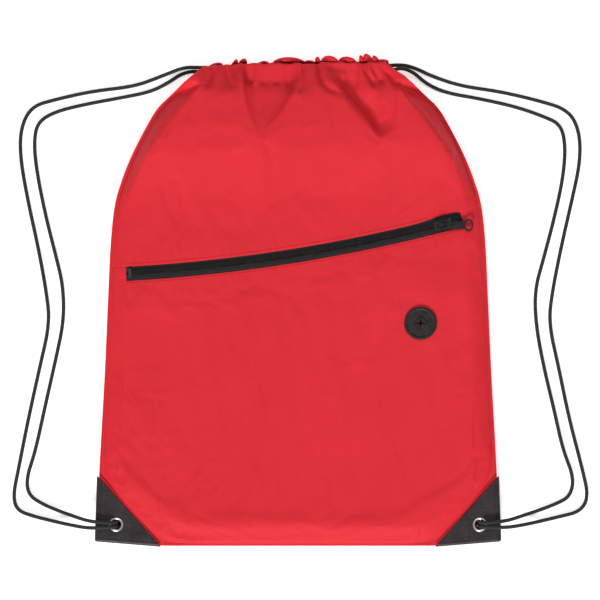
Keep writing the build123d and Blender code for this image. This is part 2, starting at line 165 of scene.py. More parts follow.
def bevel(piece, width, segments=3):
    """Rounds a hard part's edges without touching its mesh."""
    edge = piece.modifiers.new("Edges", "BEVEL")
    edge.width = width * MM
    edge.segments = segments
    edge.limit_method = "ANGLE"
    edge.angle_limit = radians(35)
    edge.harden_normals = True
    piece.data.polygons.foreach_set("use_smooth", [True] * len(piece.data.polygons))


def lathe(name, profile, centre, material, segments=64):
    """A ring turned from a closed outline of (radius, height) points."""
    turns = np.linspace(0, 2 * pi, segments, endpoint=False)
    points = [
        (centre[0] + r * cos(t), centre[1] + r * sin(t), z) for t in turns for r, z in profile
    ]
    faces = grid_faces(segments, len(profile), round_rows=True, round_columns=True)
    return make_mesh(name, points, faces, material)


def tube(path, radius, sides):
    """The rings of a round tube along a path, carried along it without twisting."""
    path = np.asarray(path, float)
    ahead = np.gradient(path, axis=0)
    ahead /= np.linalg.norm(ahead, axis=1)[:, None]
    side = np.cross(ahead[0], (0.1, 0.2, 1.0))
    turns = np.linspace(0, 2 * pi, sides, endpoint=False)
    rings = []
    for place, way in zip(path, ahead):
        side = side - way * (side @ way)
        side /= np.linalg.norm(side)
        up = np.cross(way, side)
        rings.append(place + radius * (np.outer(np.cos(turns), side) + np.outer(np.sin(turns), up)))
    return np.array(rings)


def tube_faces(length, sides, start=0):
    """The faces of a tube with this many rings, and its two caps."""
    last = start + (length - 1) * sides
    caps = [tuple(range(start, start + sides))[::-1], tuple(range(last, last + sides))]
    return grid_faces(length, sides, round_columns=True, start=start) + caps


def tube_piece(name, path, radius, sides, material):
    """A capped round tube."""
    rings = tube(path, radius, sides)
    return make_mesh(name, rings, tube_faces(len(rings), sides), material)


def stand_for(piece, nodes):
    """Puts a piece on the bag in place of CAD nodes, which it hides."""
    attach(piece, "bag")
    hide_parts(*nodes)


def noise_line(places, spacing, seed, span=260.0):
    """A smooth random wave, about -1 to 1, with humps this far apart."""
    knots = np.arange(-span, span + spacing, spacing)
    heights = np.random.default_rng(SEED + seed).uniform(-1, 1, len(knots))
    t = (np.asarray(places, float) + span) / spacing
    i = np.clip(t.astype(int), 0, len(knots) - 2)
    f = np.clip(t - i, 0, 1)
    f = f * f * (3 - 2 * f)
    return heights[i] * (1 - f) + heights[i + 1] * f


def noise_field(x, y, spacing, seed):
    """The same over the page: smooth humps about this far apart, -1 to 1."""
    span, size = 260.0, int(520 / spacing) + 2
    heights = np.random.default_rng(SEED + seed).uniform(-1, 1, (size, size))
    s, t = (np.asarray(x) + span) / spacing, (np.asarray(y) + span) / spacing
    i, j = np.clip(s.astype(int), 0, size - 2), np.clip(t.astype(int), 0, size - 2)
    f, g = np.clip(s - i, 0, 1), np.clip(t - j, 0, 1)
    f, g = f * f * (3 - 2 * f), g * g * (3 - 2 * g)
    low = heights[i, j] * (1 - f) + heights[i + 1, j] * f
    high = heights[i, j + 1] * (1 - f) + heights[i + 1, j + 1] * f
    return low * (1 - g) + high * g


# ---- materials ----
def principled(name, colour, roughness, **fixed):
    """A new material's node tree and Principled shader, with its plain values set."""
    material = bpy.data.materials.new(name)
    material.use_nodes = True
    tree = material.node_tree
    shader = tree.nodes["Principled BSDF"]
    shader.inputs["Base Color"].default_value = (*colour, 1)
    shader.inputs["Roughness"].default_value = roughness
    for socket, value in fixed.items():
        shader.inputs[socket.replace("_", " ")].default_value = value
    return material, tree, shader


def add(tree, kind, inputs=(), **settings):
    """A node of one kind; an input given as a socket is linked, any other is set."""
    node = tree.nodes.new("ShaderNode" + kind)
    for key, value in settings.items():
        setattr(node, key, value)
    for key, value in dict(inputs).items():
        if isinstance(value, bpy.types.NodeSocket):
            tree.links.new(value, node.inputs[key])
        else:
            node.inputs[key].default_value = value
    return node


def paint(tree, shader, colour, roughness=None):
    """Links a colour, and a roughness if it varies, to the shader."""
    tree.links.new(colour, shader.inputs["Base Color"])
    if roughness is not None:
        tree.links.new(roughness, shader.inputs["Roughness"])


def maths(tree, operation, a, b=0.0):
    """One Math node's result."""
    return add(tree, "Math", {0: a, 1: b}, operation=operation).outputs[0]


def mix(tree, a, a_share, b, b_share):
    """Two values added up, each by its share."""
    first = maths(tree, "MULTIPLY", a, a_share)
    return maths(tree, "ADD", first, maths(tree, "MULTIPLY", b, b_share))


def noise(tree, place, scale, detail=2.0):
    """Soft random spots, about 0 to 1."""
    return add(tree, "TexNoise", {"Vector": place, "Scale": scale, "Detail": detail}).outputs[0]


def ramp(tree, factor, low, high, dark, light):
    """A colour between dark and light as factor goes from low to high."""
    node = add(tree, "ValToRGB", {0: factor})
    for stop, place, colour in zip(node.color_ramp.elements, (low, high), (dark, light)):
        stop.position = place
        stop.color = (*colour, 1)
    return node.outputs[0]


def spread(tree, factor, low, high, to_low, to_high):
    """A factor carried from one range to another."""
    inputs = {0: factor, 1: low, 2: high, 3: to_low, 4: to_high}
    return add(tree, "MapRange", inputs).outputs[0]


def bump(tree, shader, height, distance, strength=1.0, under=None):
    """Joins a height in millimetres of relief to the shader, over an earlier bump."""
    inputs = {"Height": height, "Distance": distance * MM, "Strength": strength}
    if under is not None:
        inputs["Normal"] = under
    node = add(tree, "Bump", inputs)
    tree.links.new(node.outputs[0], shader.inputs["Normal"])
    return node.outputs[0]


def own_place(tree):
    """The place of each point in its own piece's frame."""
    return add(tree, "TexCoord").outputs["Object"]


def wave(tree, place, pitch, direction):
    """Even ridges this many millimetres apart."""
    scale = 2 * pi / 20 / (pitch * MM)
    inputs = {"Vector": place, "Scale": scale, "Distortion": 0.0}
    return add(tree, "TexWave", inputs, bands_direction=direction).outputs["Fac"]


def plain_weave(tree, place, pitch):
    """Threads that pass over and under each other."""
    across, along = wave(tree, place, pitch, "X"), wave(tree, place, pitch, "Y")
    scale = 1 / (pitch * MM)
    over = add(tree, "TexChecker", {"Vector": place, "Scale": scale}).outputs["Fac"]
    under = maths(tree, "SUBTRACT", 1.0, over)
    first, second = maths(tree, "MULTIPLY", across, over), maths(tree, "MULTIPLY", along, under)
    return maths(tree, "ADD", first, second)


def polyester(name, colour, shade):
    """Coated 210D polyester: a fine plain weave with slubs, a soft sheen and a faint mottle."""
    material, tree, shader = principled(
        name, colour, 0.6, Specular_IOR_Level=0.14, Sheen_Weight=0.02, Sheen_Roughness=0.4
    )
    place = own_place(tree)
    mottle = noise(tree, place, 22.0, 4.0)
    fibres = noise(tree, add(tree, "Mapping", {0: place, 3: (1.0, 0.08, 1.0)}).outputs[0], 900.0)
    tone = mix(tree, mottle, 0.7, fibres, 0.3)
    tint = ramp(tree, tone, 0.3, 0.7, shade, colour)
    paint(tree, shader, tint, spread(tree, tone, 0.3, 0.7, 0.56, 0.7))
    crinkle = bump(tree, shader, noise(tree, place, 60.0, 3.0), 0.25, 0.5)
    bump(tree, shader, plain_weave(tree, place, 0.34), 0.04, 0.6, crinkle)
    return material


def woven_tape(name):
    """The zipper's ribbed polyester tape."""
    dark, light = (0.011, 0.011, 0.011), (0.028, 0.027, 0.027)
    material, tree, shader = principled(name, dark, 0.75, Sheen_Weight=0.06, Specular_IOR_Level=0.2)
    place = own_place(tree)
    weave = plain_weave(tree, place, 0.55)
    tint = ramp(tree, weave, 0.1, 0.9, dark, light)
    paint(tree, shader, tint, spread(tree, noise(tree, place, 250.0), 0.3, 0.7, 0.68, 0.85))
    bump(tree, shader, weave, 0.1, 0.8)
    return material


def smooth_plastic(name, dark, light, roughness, grain, relief, **fixed):
    """Moulded or drawn plastic, paint or rubber with a fine grain and slight wear."""
    material, tree, shader = principled(name, dark, roughness, Specular_IOR_Level=0.22, **fixed)
    place = own_place(tree)
    broad = noise(tree, place, 180.0, 3.0)
    fine = noise(tree, place, grain, 2.0)
    tint = ramp(tree, broad, 0.35, 0.7, dark, light)
    paint(tree, shader, tint, spread(tree, fine, 0.3, 0.7, roughness - 0.08, roughness + 0.1))
    bump(tree, shader, fine, relief, 0.6)
    return material


def coated_leather(name):
    """Coated fabric with an embossed pebble grain."""
    dark, light = (0.012, 0.009, 0.01), (0.04, 0.03, 0.033)
    material, tree, shader = principled(name, dark, 0.45, Specular_IOR_Level=0.25)
    place = own_place(tree)
    inputs = {"Vector": place, "Scale": 900.0}
    cells = add(tree, "TexVoronoi", inputs, feature="SMOOTH_F1").outputs[0]
    mottle = noise(tree, place, 90.0, 4.0)
    tone = mix(tree, cells, 0.5, mottle, 0.6)
    tint = ramp(tree, tone, 0.25, 0.8, dark, light)
    paint(tree, shader, tint, spread(tree, tone, 0.2, 0.8, 0.36, 0.56))
    bump(tree, shader, cells, 0.12, 0.7)
    return material


def plated_metal(name):
    """Nickel plate with fine scratches and dull patches."""
    pale, warm = (0.80, 0.75, 0.70), (0.62, 0.56, 0.52)
    material, tree, shader = principled(name, pale, 0.22, Metallic=1.0)
    place = own_place(tree)
    dull = noise(tree, place, 300.0, 4.0)
    scratches = noise(tree, add(tree, "Mapping", {0: place, 3: (1.0, 12.0, 1.0)}).outputs[0], 400.0)
    tint = ramp(tree, dull, 0.35, 0.75, pale, warm)
    paint(tree, shader, tint, spread(tree, dull, 0.3, 0.8, 0.16, 0.38))
    bump(tree, shader, scratches, 0.01, 0.4)
    return material


def braided_cord(name):
    """A round braid: two sets of strands that wind opposite ways, read from the cord's UV map."""
    dark, light = (0.005, 0.007, 0.006), (0.036, 0.042, 0.038)
    material, tree, shader = principled(name, dark, 0.7, Sheen_Weight=0.08, Specular_IOR_Level=0.22)
    place = add(tree, "SeparateXYZ", {0: add(tree, "TexCoord").outputs["UV"]})
    around, along = maths(tree, "MULTIPLY", place.outputs[0], 6 * 2 * pi), place.outputs[1]
    along = maths(tree, "MULTIPLY", along, 2 * pi)
    right = maths(tree, "SINE", maths(tree, "ADD", around, along))
    left = maths(tree, "SINE", maths(tree, "SUBTRACT", around, along))
    strands = maths(tree, "MAXIMUM", right, left)
    tint = ramp(tree, strands, 0.1, 1.0, dark, light)
    fuzz = noise(tree, own_place(tree), 1500.0)
    paint(tree, shader, tint, spread(tree, fuzz, 0.3, 0.7, 0.62, 0.8))
    bump(tree, shader, strands, 0.18, 0.8)
    return material


def thread(name, dark, light):
    """Twisted sewing thread."""
    material, tree, shader = principled(name, light, 0.7, Specular_IOR_Level=0.15)
    twist = noise(tree, own_place(tree), 2200.0)
    paint(tree, shader, ramp(tree, twist, 0.3, 0.7, dark, light))
    bump(tree, shader, twist, 0.05, 0.6)
    return material


def painted_floor(name):
    """White paint that gives off a little light, so that its shadows stay faint."""
    material, tree, shader = principled(
        name, (0.93, 0.93, 0.93), 0.9, Specular_IOR_Level=0.1, Emission_Strength=0.5
    )
    shader.inputs["Emission Color"].default_value = (1, 1, 1, 1)
    tone = noise(tree, own_place(tree), 3.0)
    paint(tree, shader, ramp(tree, tone, 0.3, 0.7, (0.92, 0.92, 0.92), (0.94, 0.94, 0.94)))
    return material


RED = polyester("red_polyester", (0.655, 0.0225, 0.034), (0.60, 0.0175, 0.0275))
LINING = polyester("lining_polyester", (0.57, 0.019, 0.029), (0.52, 0.015, 0.024))
TAPE = woven_tape("zipper_tape")
COIL = smooth_plastic("coil_nylon", (0.012, 0.011, 0.012), (0.028, 0.025, 0.026), 0.35, 900.0, 0.02)
STOP = smooth_plastic(
    "stop_metal", (0.04, 0.04, 0.042), (0.07, 0.07, 0.072), 0.4, 900.0, 0.02, Metallic=0.8
)
PAINT = smooth_plastic(
    "slider_paint", (0.007, 0.007, 0.008), (0.015, 0.015, 0.016), 0.42, 1200.0, 0.02
)
MOULDING = smooth_plastic(
    "pull_moulding", (0.008, 0.008, 0.008), (0.018, 0.017, 0.018), 0.5, 1500.0, 0.04
)
RUBBER = smooth_plastic(
    "port_rubber", (0.013, 0.01, 0.01), (0.028, 0.023, 0.023), 0.6, 1200.0, 0.05
)
LEATHER = coated_leather("coated_fabric")
NICKEL = plated_metal("nickel_plate")
BRAID = braided_cord("braided_cord")
RED_THREAD = thread("red_thread", (0.45, 0.014, 0.02), (0.6, 0.02, 0.03))
BLACK_THREAD = thread("black_thread", (0.008, 0.008, 0.008), (0.035, 0.033, 0.034))


# ---- camera, light and floor ----
VIEW_X, VIEW_Y, VIEW_WIDTH = 1.7, 1.97, 510.6
CAMERA_HEIGHT = 3000.0


def make_camera():
    """Straight above the bag, with its mouth at the top of the picture."""
    data = bpy.data.cameras.new("camera")
    data.lens = data.sensor_width * (CAMERA_HEIGHT - FRONT_Z) / VIEW_WIDTH
    camera = bpy.data.objects.new("camera", data)
    camera.location = (VIEW_X * MM, VIEW_Y * MM, CAMERA_HEIGHT * MM)
    bpy.context.scene.collection.objects.link(camera)
    bpy.context.scene.camera = camera


def soft_lamp(name, place, size, watts):
    """A square lamp that faces the bag's middle."""
    data = bpy.data.lights.new(name, "AREA")
    data.size = size
    data.energy = watts
    lamp = bpy.data.objects.new(name, data)
    lamp.location = place
    lamp.rotation_euler = (-Vector(place)).to_track_quat("-Z", "Y").to_euler()
    bpy.context.scene.collection.objects.link(lamp)


def make_studio():
    """A white room with one low key lamp, a weak fill and a plain pale floor."""
    world = bpy.data.worlds.new("studio")
    world.use_nodes = True
    world.node_tree.nodes["Background"].inputs["Color"].default_value = (1, 1, 1, 1)
    world.node_tree.nodes["Background"].inputs["Strength"].default_value = 0.36
    bpy.context.scene.world = world
    bpy.context.scene.view_settings.view_transform = "Standard"
    soft_lamp("key", (-0.8, -5.0, 3.6), 1.5, 372)
    soft_lamp("fill", (0.1, 0.7, 1.7), 0.8, 9)
    reach, under = 4000.0, -0.3
    corners = [(x * reach, y * reach, under) for x, y in ((-1, -1), (1, -1), (1, 1), (-1, 1))]
    floor = make_mesh("floor", corners, [(0, 1, 2, 3)], painted_floor("floor_paint"), smooth=False)


# ---- drawcords ----
CORD_D = 3.2
FLOOR = 1.7
CASING_FRONT = middle_mm("front_hem_casing")[2] + 0.5
CASING_BACK = middle_mm("back_hem_casing")[2] - 0.5
KNOT_TOP = box_mm("left_cord_knot")[1][2]
EYE_Y = GROMMETS["left"][1]
STRAND_GAP = 1.7
OVER = 16.7
LEFT_CORD = [
    (-155, EYE_Y - STRAND_GAP, KNOT_TOP), (-155, EYE_Y - STRAND_GAP, OVER),
    (-165, -191.7, OVER + 0.2), (-178, -192.3, OVER - 0.4), (-191, -190.8, 8),
    (-207, -187.8, FLOOR), (-226, -183.2, FLOOR), (-240.5, -178, FLOOR), (-243.8, -165.5, FLOOR),
    (-239.3, -143.5, FLOOR), (-231.8, -105, FLOOR), (-221.5, -58, FLOOR), (-212.3, -18, FLOOR),
    (-215.5, 10, FLOOR), (-222.3, 47, FLOOR), (-231, 86, FLOOR), (-237.8, 124, FLOOR),
    (-237.3, 149, FLOOR), (-228, 167.6, FLOOR), (-207, 173.6, FLOOR), (-176, 180.6, FLOOR),
    (-140, 184.6, FLOOR), (-117, 193.2, 2), (-98, 200.6, 8.5), (-84, 200.0, 14.2),
    (-62, 199.8, CASING_FRONT), (-30, 200.4, CASING_FRONT), (2, 200.6, CASING_FRONT),
    (34, 200.4, CASING_FRONT), (59, 200.0, CASING_FRONT), (73, 199.8, CASING_FRONT),
    (73, 193.2, CASING_BACK), (59, 192.4, CASING_BACK), (34, 191.7, CASING_BACK),
    (2, 191.4, CASING_BACK), (-30, 191.8, CASING_BACK), (-62, 193, CASING_BACK),
    (-86, 198.2, 2.8), (-99, 196.1, 2.1), (-111, 187.8, FLOOR), (-126, 180, FLOOR),
    (-151, 175, FLOOR), (-182, 169.4, FLOOR), (-208, 163, FLOOR), (-222.8, 154, FLOOR),
    (-226, 137, FLOOR), (-223.6, 112, FLOOR), (-216, 74, FLOOR), (-207, 39, FLOOR),
    (-201, 14, FLOOR), (-200.3, -16, FLOOR), (-207.5, -50, FLOOR), (-217, -92, FLOOR),
    (-224.8, -128, FLOOR), (-232.5, -151, FLOOR), (-230.5, -165, FLOOR), (-218, -173, FLOOR),
    (-203, -179, 2.6), (-190, -183.2, 8), (-178, -186.4, OVER - 0.4), (-165, -187.6, OVER + 0.2),
    (-155, EYE_Y + STRAND_GAP, OVER), (-155, EYE_Y + STRAND_GAP, KNOT_TOP),
]
RIGHT_CORD = [
    (155, EYE_Y - STRAND_GAP, KNOT_TOP), (155, EYE_Y - STRAND_GAP, OVER),
    (165, -191.5, OVER + 0.2), (178, -191.7, OVER - 0.4), (191, -190.3, 8), (206, -187.6, FLOOR),
    (224, -183.3, FLOOR), (241.5, -179, FLOOR), (248.6, -166.5, FLOOR), (242.8, -141, FLOOR),
    (231.5, -98, FLOOR), (223, -56, FLOOR), (214.4, -18, FLOOR), (217.5, 9, FLOOR),
    (225.5, 49, FLOOR), (233.8, 85, FLOOR), (241.5, 120, FLOOR), (240.7, 147, FLOOR),
    (231, 164.8, FLOOR), (204, 173, FLOOR), (172, 180.4, FLOOR), (139, 185, FLOOR),
    (115, 193.2, FLOOR), (99, 201, 2.1), (86, 203.6, 2.8), (62, 200.2, CASING_BACK),
    (30, 200.6, CASING_BACK), (-2, 200.3, CASING_BACK), (-34, 199.8, CASING_BACK),
    (-59, 199.4, CASING_BACK), (-73, 199.0, CASING_BACK), (-73, 193.2, CASING_FRONT),
    (-59, 192.4, CASING_FRONT), (-34, 191.7, CASING_FRONT), (-2, 191.4, CASING_FRONT),
    (30, 191.8, CASING_FRONT), (62, 192.6, CASING_FRONT), (74.5, 193.6, 14.6), (86, 200.4, 14),
    (98, 197, 8.4), (110, 186.6, 2), (127, 179, FLOOR), (154, 174.4, FLOOR), (186, 167.4, FLOOR),
    (210, 159, FLOOR), (224.6, 152.2, FLOOR), (228.8, 135, FLOOR), (227, 108, FLOOR),
    (220, 75, FLOOR), (210.3, 38, FLOOR), (202.6, 11, FLOOR), (203.3, -18, FLOOR),
    (209.6, -53, FLOOR), (219.5, -94, FLOOR), (226.5, -126, FLOOR), (236, -150, FLOOR),
    (233, -166, FLOOR), (220.5, -172.6, FLOOR), (204, -178.6, 2.6), (190.5, -182.6, 8),
    (178, -186, OVER - 0.4), (165, -187.4, OVER + 0.2), (155, EYE_Y + STRAND_GAP, OVER),
    (155, EYE_Y + STRAND_GAP, KNOT_TOP),
]


def smooth_route(name, points, steps=24):
    """The line of a NURBS spline that has these points as its control points."""
    data = bpy.data.curves.new(name, "CURVE")
    data.dimensions = "3D"
    data.resolution_u = steps
    spline = data.splines.new("NURBS")
    spline.points.add(len(points) - 1)
    for knot, place in zip(spline.points, points):
        knot.co = (*(c * MM for c in place), 1)
    spline.order_u = 3
    spline.use_endpoint_u = True
    route = bpy.data.objects.new(name, data)
    bpy.context.scene.collection.objects.link(route)
    bpy.context.view_layer.update()
    graph = bpy.context.evaluated_depsgraph_get()
    mesh = bpy.data.meshes.new_from_object(route.evaluated_get(graph))
    line = np.array([v.co for v in mesh.vertices], float) / MM
    bpy.data.objects.remove(route)
    keep = np.linalg.norm(np.diff(line, axis=0), axis=1) > 1e-4
    return line[np.concatenate([[True], keep])]


def lengths_along(line):
    """The length of a line from its start to each of its points."""
    return np.concatenate([[0], np.cumsum(np.linalg.norm(np.diff(line, axis=0), axis=1))])


def face_corners(piece):
    """The point that each corner of each face stands on."""
    corner = np.empty(len(piece.data.loops), np.int32)
    piece.data.loops.foreach_get("vertex_index", corner)
    return corner


def map_braid(piece, around, along):
    """The UV map that the braid follows: turns round the cord, and lays along it."""
    layer = piece.data.uv_layers.new(name="braid")
    layer.data.foreach_set("uv", np.stack([around, along], 1).astype(np.float32).ravel())


def braided_tube(name, line, sides=16, lay=2.6):
    """A cord along a line, with a UV map that its braid follows, and its length."""
    gone = lengths_along(line)
    cord = tube_piece(name, line, CORD_D / 2, sides, BRAID)
    corner = face_corners(cord)
    around = (corner % sides) / sides
    quads = around[: (len(line) - 1) * sides * 4].reshape(-1, 4)
    closing = np.ptp(quads, axis=1, keepdims=True) > 0.5
    quads += closing & (quads < 0.25)  # the last face of each ring ends on turn 1, not on 0
    map_braid(cord, around, gone[corner // sides] / lay)
    return cord, float(gone[-1])


def knot_strand(shift, turn):
    """One strand of an overhand knot: down from the hole, round, through and out."""
    t = np.linspace(0.0, 1.0, 90)
    angle = turn + 2 * pi * 1.45 * t
    swell = np.sin(pi * np.clip(t * 1.15, 0, 1)) ** 0.6
    radius = 0.6 + 4.1 * swell + 0.5 * np.cos(3 * angle) * swell
    height = 7.0 - 4.8 * t - 0.9 * np.sin(2 * angle) * swell
    x, y = radius * np.cos(angle), radius * np.sin(angle) + shift * (1 - t)
    return np.stack([x, y, np.clip(height, 1.7, 7.2)], 1)


def cord_knot(side):
    """Both ends of a cord in one tight knot under the corner, with two short tails."""
    x, y, _ = GROMMETS[side]
    rings, faces, sides = [], [], 12
    for shift, turn in ((-STRAND_GAP, -pi / 2), (STRAND_GAP, pi / 2)):
        line = knot_strand(shift * 0.65, turn) + (x, y, 0)
        strand = tube(line, CORD_D / 2 * 0.97, sides)
        faces += tube_faces(len(line), sides, len(rings) * sides)
        rings += list(strand)
    knot = make_mesh(f"{side}_knot", np.array(rings), faces, BRAID)
    corner = face_corners(knot)
    map_braid(knot, corner % sides / sides, corner // sides * 0.2)
    return knot


def make_cords():
    """Both drawcords with their knots."""
    for side, points in (("left", LEFT_CORD), ("right", RIGHT_CORD)):
        line = smooth_route(f"{side}_route", points)
        cord, length = braided_tube(f"{side}_cord", line)
        knot = cord_knot(side)
        stand_for(cord, [f"{side}_drawcord"])
        stand_for(knot, [f"{side}_cord_knot"])


# ---- outline and crown of the bag ----
def ramp_up(value, start, width):
    """0 until value passes start, then up to 1 over this width."""
    return np.clip((value - start) / width, 0, 1)


def circle_through(a, b, c):
    """The centre and radius of the circle through three points."""
    (ax, ay), (bx, by), (cx, cy) = a, b, c
    d = 2 * (ax * (by - cy) + bx * (cy - ay) + cx * (ay - by))
    sums = [x * x + y * y for x, y in (a, b, c)]
    x = (sums[0] * (by - cy) + sums[1] * (cy - ay) + sums[2] * (ay - by)) / d
    y = (sums[0] * (cx - bx) + sums[1] * (ax - cx) + sums[2] * (bx - ax)) / d
    return x, y, float(np.hypot(ax - x, ay - y))


def smooth_curve(points, steps=12):
    """Points along a smooth curve through the given ones."""
    p = np.array(points, float)
    p = np.vstack([2 * p[0] - p[1], p, 2 * p[-1] - p[-2]])
    t = np.linspace(0, 1, steps, endpoint=False)[:, None]
    parts = []
    for a, b, c, d in zip(p, p[1:], p[2:], p[3:]):
        bend = (2 * a - 5 * b + 4 * c - d) * t**2 + (3 * b - a - 3 * c + d) * t**3
        parts.append(b + 0.5 * ((c - a) * t + bend))
    return np.vstack(parts + [p[-2:-1]])


SIDE_X, SIDE_Y = smooth_curve(OUTLINE).T


def half_width(y):
    """Half the bag's width, out to the sewn edge."""
    return np.interp(y, SIDE_Y, SIDE_X)


def bottom_edge(x):
    """The bottom seam, which curves up to the corners."""
    cx, cy, r = circle_through(*FOOT_ARC)
    out = np.maximum(np.abs(x), FOOT_ARC[0][0])
    return cy - np.sqrt(r * r - (out - cx) ** 2)


def side_distance(x, y):
    """How far in from the side seam a point is."""
    slope = (half_width(y + 4) - half_width(y - 4)) / 8
    return (half_width(y) - np.abs(x)) / np.sqrt(1 + slope**2)


def soft_min(a, b, blend=7.0):
    """The smaller of two values, rounded where they meet."""
    return -blend * np.logaddexp(-a / blend, -b / blend)


def seam_distance(x, y):
    """How far in from the nearest seam, rounded where two seams meet."""
    return soft_min(side_distance(x, y), y - bottom_edge(x) + 0.5, 3.0)


PATCH_SIDE, PATCH_CORNER, PATCH_FOOT = (170.9, -148.4), (172.8, -203.4), (117.3, -207.9)


def patch_distance(x, y):
    """How far a point is from the slanting edge of the corner patch on its side, + outside it."""
    ax, ay = PATCH_SIDE
    bx, by = PATCH_FOOT
    across, up = bx - ax, by - ay
    long = np.hypot(across, up)
    return ((np.abs(x) - ax) * up - (y - ay) * across) / long


def edge_distance(x, y):
    """How far in from the sewn edges, or from a corner patch, a point is."""
    patch = np.maximum(patch_distance(x, y) + 1.5, -10)
    return np.where(y < 40, soft_min(seam_distance(x, y), patch), side_distance(x, y))


def mouth_share(y):
    """0 where the side seams join the two layers and 1 at the mouth, where they part."""
    return ramp_up(y, 178, 9)


def rise(distance, width):
    """How far cloth has risen from its flat sewn edge, 0 to 1."""
    t = np.clip((distance - FLANGE) / width, 0, 1)
    return 0.55 * np.sqrt(np.maximum(1 - (1 - t) ** 2, 0)) + 0.45 * np.sin(t * pi / 2)


def zip_y(x, offset=0.0):
    """Where the zipper's arc, or one this far below it, crosses x."""
    r = ZIP_R + offset
    return ZIP_Y - np.sqrt(r * r - (x - ZIP_X) ** 2)


def zip_place(angle, offset, z):
    """Points on the zipper: degrees along it, offset towards the bottom, height."""
    a = np.radians(angle)
    r = ZIP_R + offset
    return np.stack(np.broadcast_arrays(ZIP_X + r * np.sin(a), ZIP_Y - r * np.cos(a), z), -1)


ZIP_END_X = [float(zip_place(a, 0, 0)[0]) for a in (ZIP_LEFT, ZIP_RIGHT)]


def zip_distance(x, y):
    """How far a point is below the zipper's middle, - above it."""
    return np.hypot(x - ZIP_X, y - ZIP_Y) - ZIP_R


# ---- folds ----
# Each fold is a path on the page, its half width and its depth at the two ends.
# A depth below 0 is a ridge.
BILLOW, MOUTH_SLOPE = 11.4, 0.45
OVER_CASING = CASING_FRONT + CORD_D / 2 + 0.55
HEM_FOLDS = [
    ([(-43.1, 204), (-43.3, 195), (-42, 187)], (1.6, 3.0), (3.0, 5.0)),
    ([(-48.5, 204), (-49, 195), (-46, 185), (-41, 183), (-37, 187), (-36, 196), (-37.5, 204)],
     (1.7, 1.7), (-1.6, -1.4)),
    ([(17.6, 204), (18, 195), (21, 186), (27, 181), (36, 178)], (1.6, 3.6), (3.4, 2.0)),
    ([(12.5, 204), (13, 194), (15, 184)], (1.8, 2.4), (-1.4, -0.8)),
    ([(29.5, 199.5), (44.5, 199)], (3.4, 3.4), (2.8, 2.8)),
    ([(56.7, 205), (58, 197), (64, 186)], (1.7, 2.8), (3.0, 2.8)),
    ([(66, 205), (65.8, 198), (70, 188)], (1.4, 2.4), (3.0, 2.4)),
    ([(73, 203), (76, 195), (84, 185)], (1.6, 3.0), (2.4, 3.4)),
    ([(-9.5, 204), (-9, 195), (-7, 182)], (1.5, 3.2), (2.8, 3.4)),
    ([(-19, 203), (-18.4, 188)], (1.5, 2.8), (2.4, 2.8)),
    ([(-27, 204), (-28.5, 188)], (1.4, 2.6), (2.2, 2.2)),
    ([(-55, 204), (-54.5, 193)], (1.3, 2.2), (2.0, 1.0)),
    ([(-62, 204), (-61, 195), (-57, 184)], (1.4, 2.8), (2.8, 1.8)),
    ([(-72, 203), (-72, 196), (-76, 185)], (1.4, 2.8), (2.6, 3.0)),
    ([(4.5, 204), (5, 194), (2, 181)], (1.5, 3.4), (2.6, 2.6)),
    ([(50.5, 204), (50, 194)], (1.3, 2.0), (2.2, 1.2)),
]
SOFT_FOLDS = [
    ([(-30.6, 130), (-40.8, 74)], (4, 5), (-0.9, -0.5)),
    ([(-114, 97), (-103, 66)], (5, 5), (0.8, 0.4)),
    ([(-100, 92), (-88, 55)], (5, 6), (0.8, 0.4)),
    ([(8, 184), (14, 168)], (7, 9), (2.0, 0.4)),
    ([(-64, 186), (-76, 170)], (6, 9), (1.6, 0.3)),
    ([(-88, 184), (-104, 164)], (3, 4), (1.6, 0.6)),
    ([(88, 186), (108, 166), (124, 146)], (3.5, 4), (2.0, 0.8)),
]


def along_path(x, y, path):
    """Each point's distance from a path and how far along the path it is, 0 to 1."""
    path = np.array(path, float)
    steps = np.linalg.norm(np.diff(path, axis=0), axis=1)
    best, share, gone = np.full(np.shape(x), 1e9), np.zeros(np.shape(x)), 0.0
    for (ax, ay), (bx, by), step in zip(path, path[1:], steps):
        t = np.clip(((x - ax) * (bx - ax) + (y - ay) * (by - ay)) / step**2, 0, 1)
        d = np.hypot(x - ax - t * (bx - ax), y - ay - t * (by - ay))
        nearer = d < best
        best = np.where(nearer, d, best)
        share = np.where(nearer, (gone + t * step) / steps.sum(), share)
        gone += step
    return best, share


def folded(x, y, folds):
    """The height that a list of folds adds."""
    z = np.zeros(np.shape(x))
    for path, widths, depths in folds:
        distance, share = along_path(x, y, path)
        width = widths[0] + (widths[1] - widths[0]) * share
        depth = depths[0] + (depths[1] - depths[0]) * share
        z -= depth * np.exp(-((distance / width) ** 2))
    return z


# The two big pleats: a tongue that sinks towards the mouth, and a slanting ledge.
TONGUES = [((-31.5, 147.5), 0.22, 14.7, 0.42, 10.0), ((74.0, 140.7), -0.35, 16.0, 0.3, 5.0)]
LEDGE = [(36, 196), (50, 178), (66, 161), (76, 143)]


def tongue(x, y, tip, lean, spread, slope, depth):
    """How far the cloth sinks inside a round-tipped tongue that widens towards the mouth."""
    above = y - tip[1]
    inside = slope * (above - (x - tip[0] - lean * above) ** 2 / spread)
    sunk = 0.5 * np.logaddexp(0, inside / 0.5)
    return depth * (1 - np.exp(-sunk / depth))


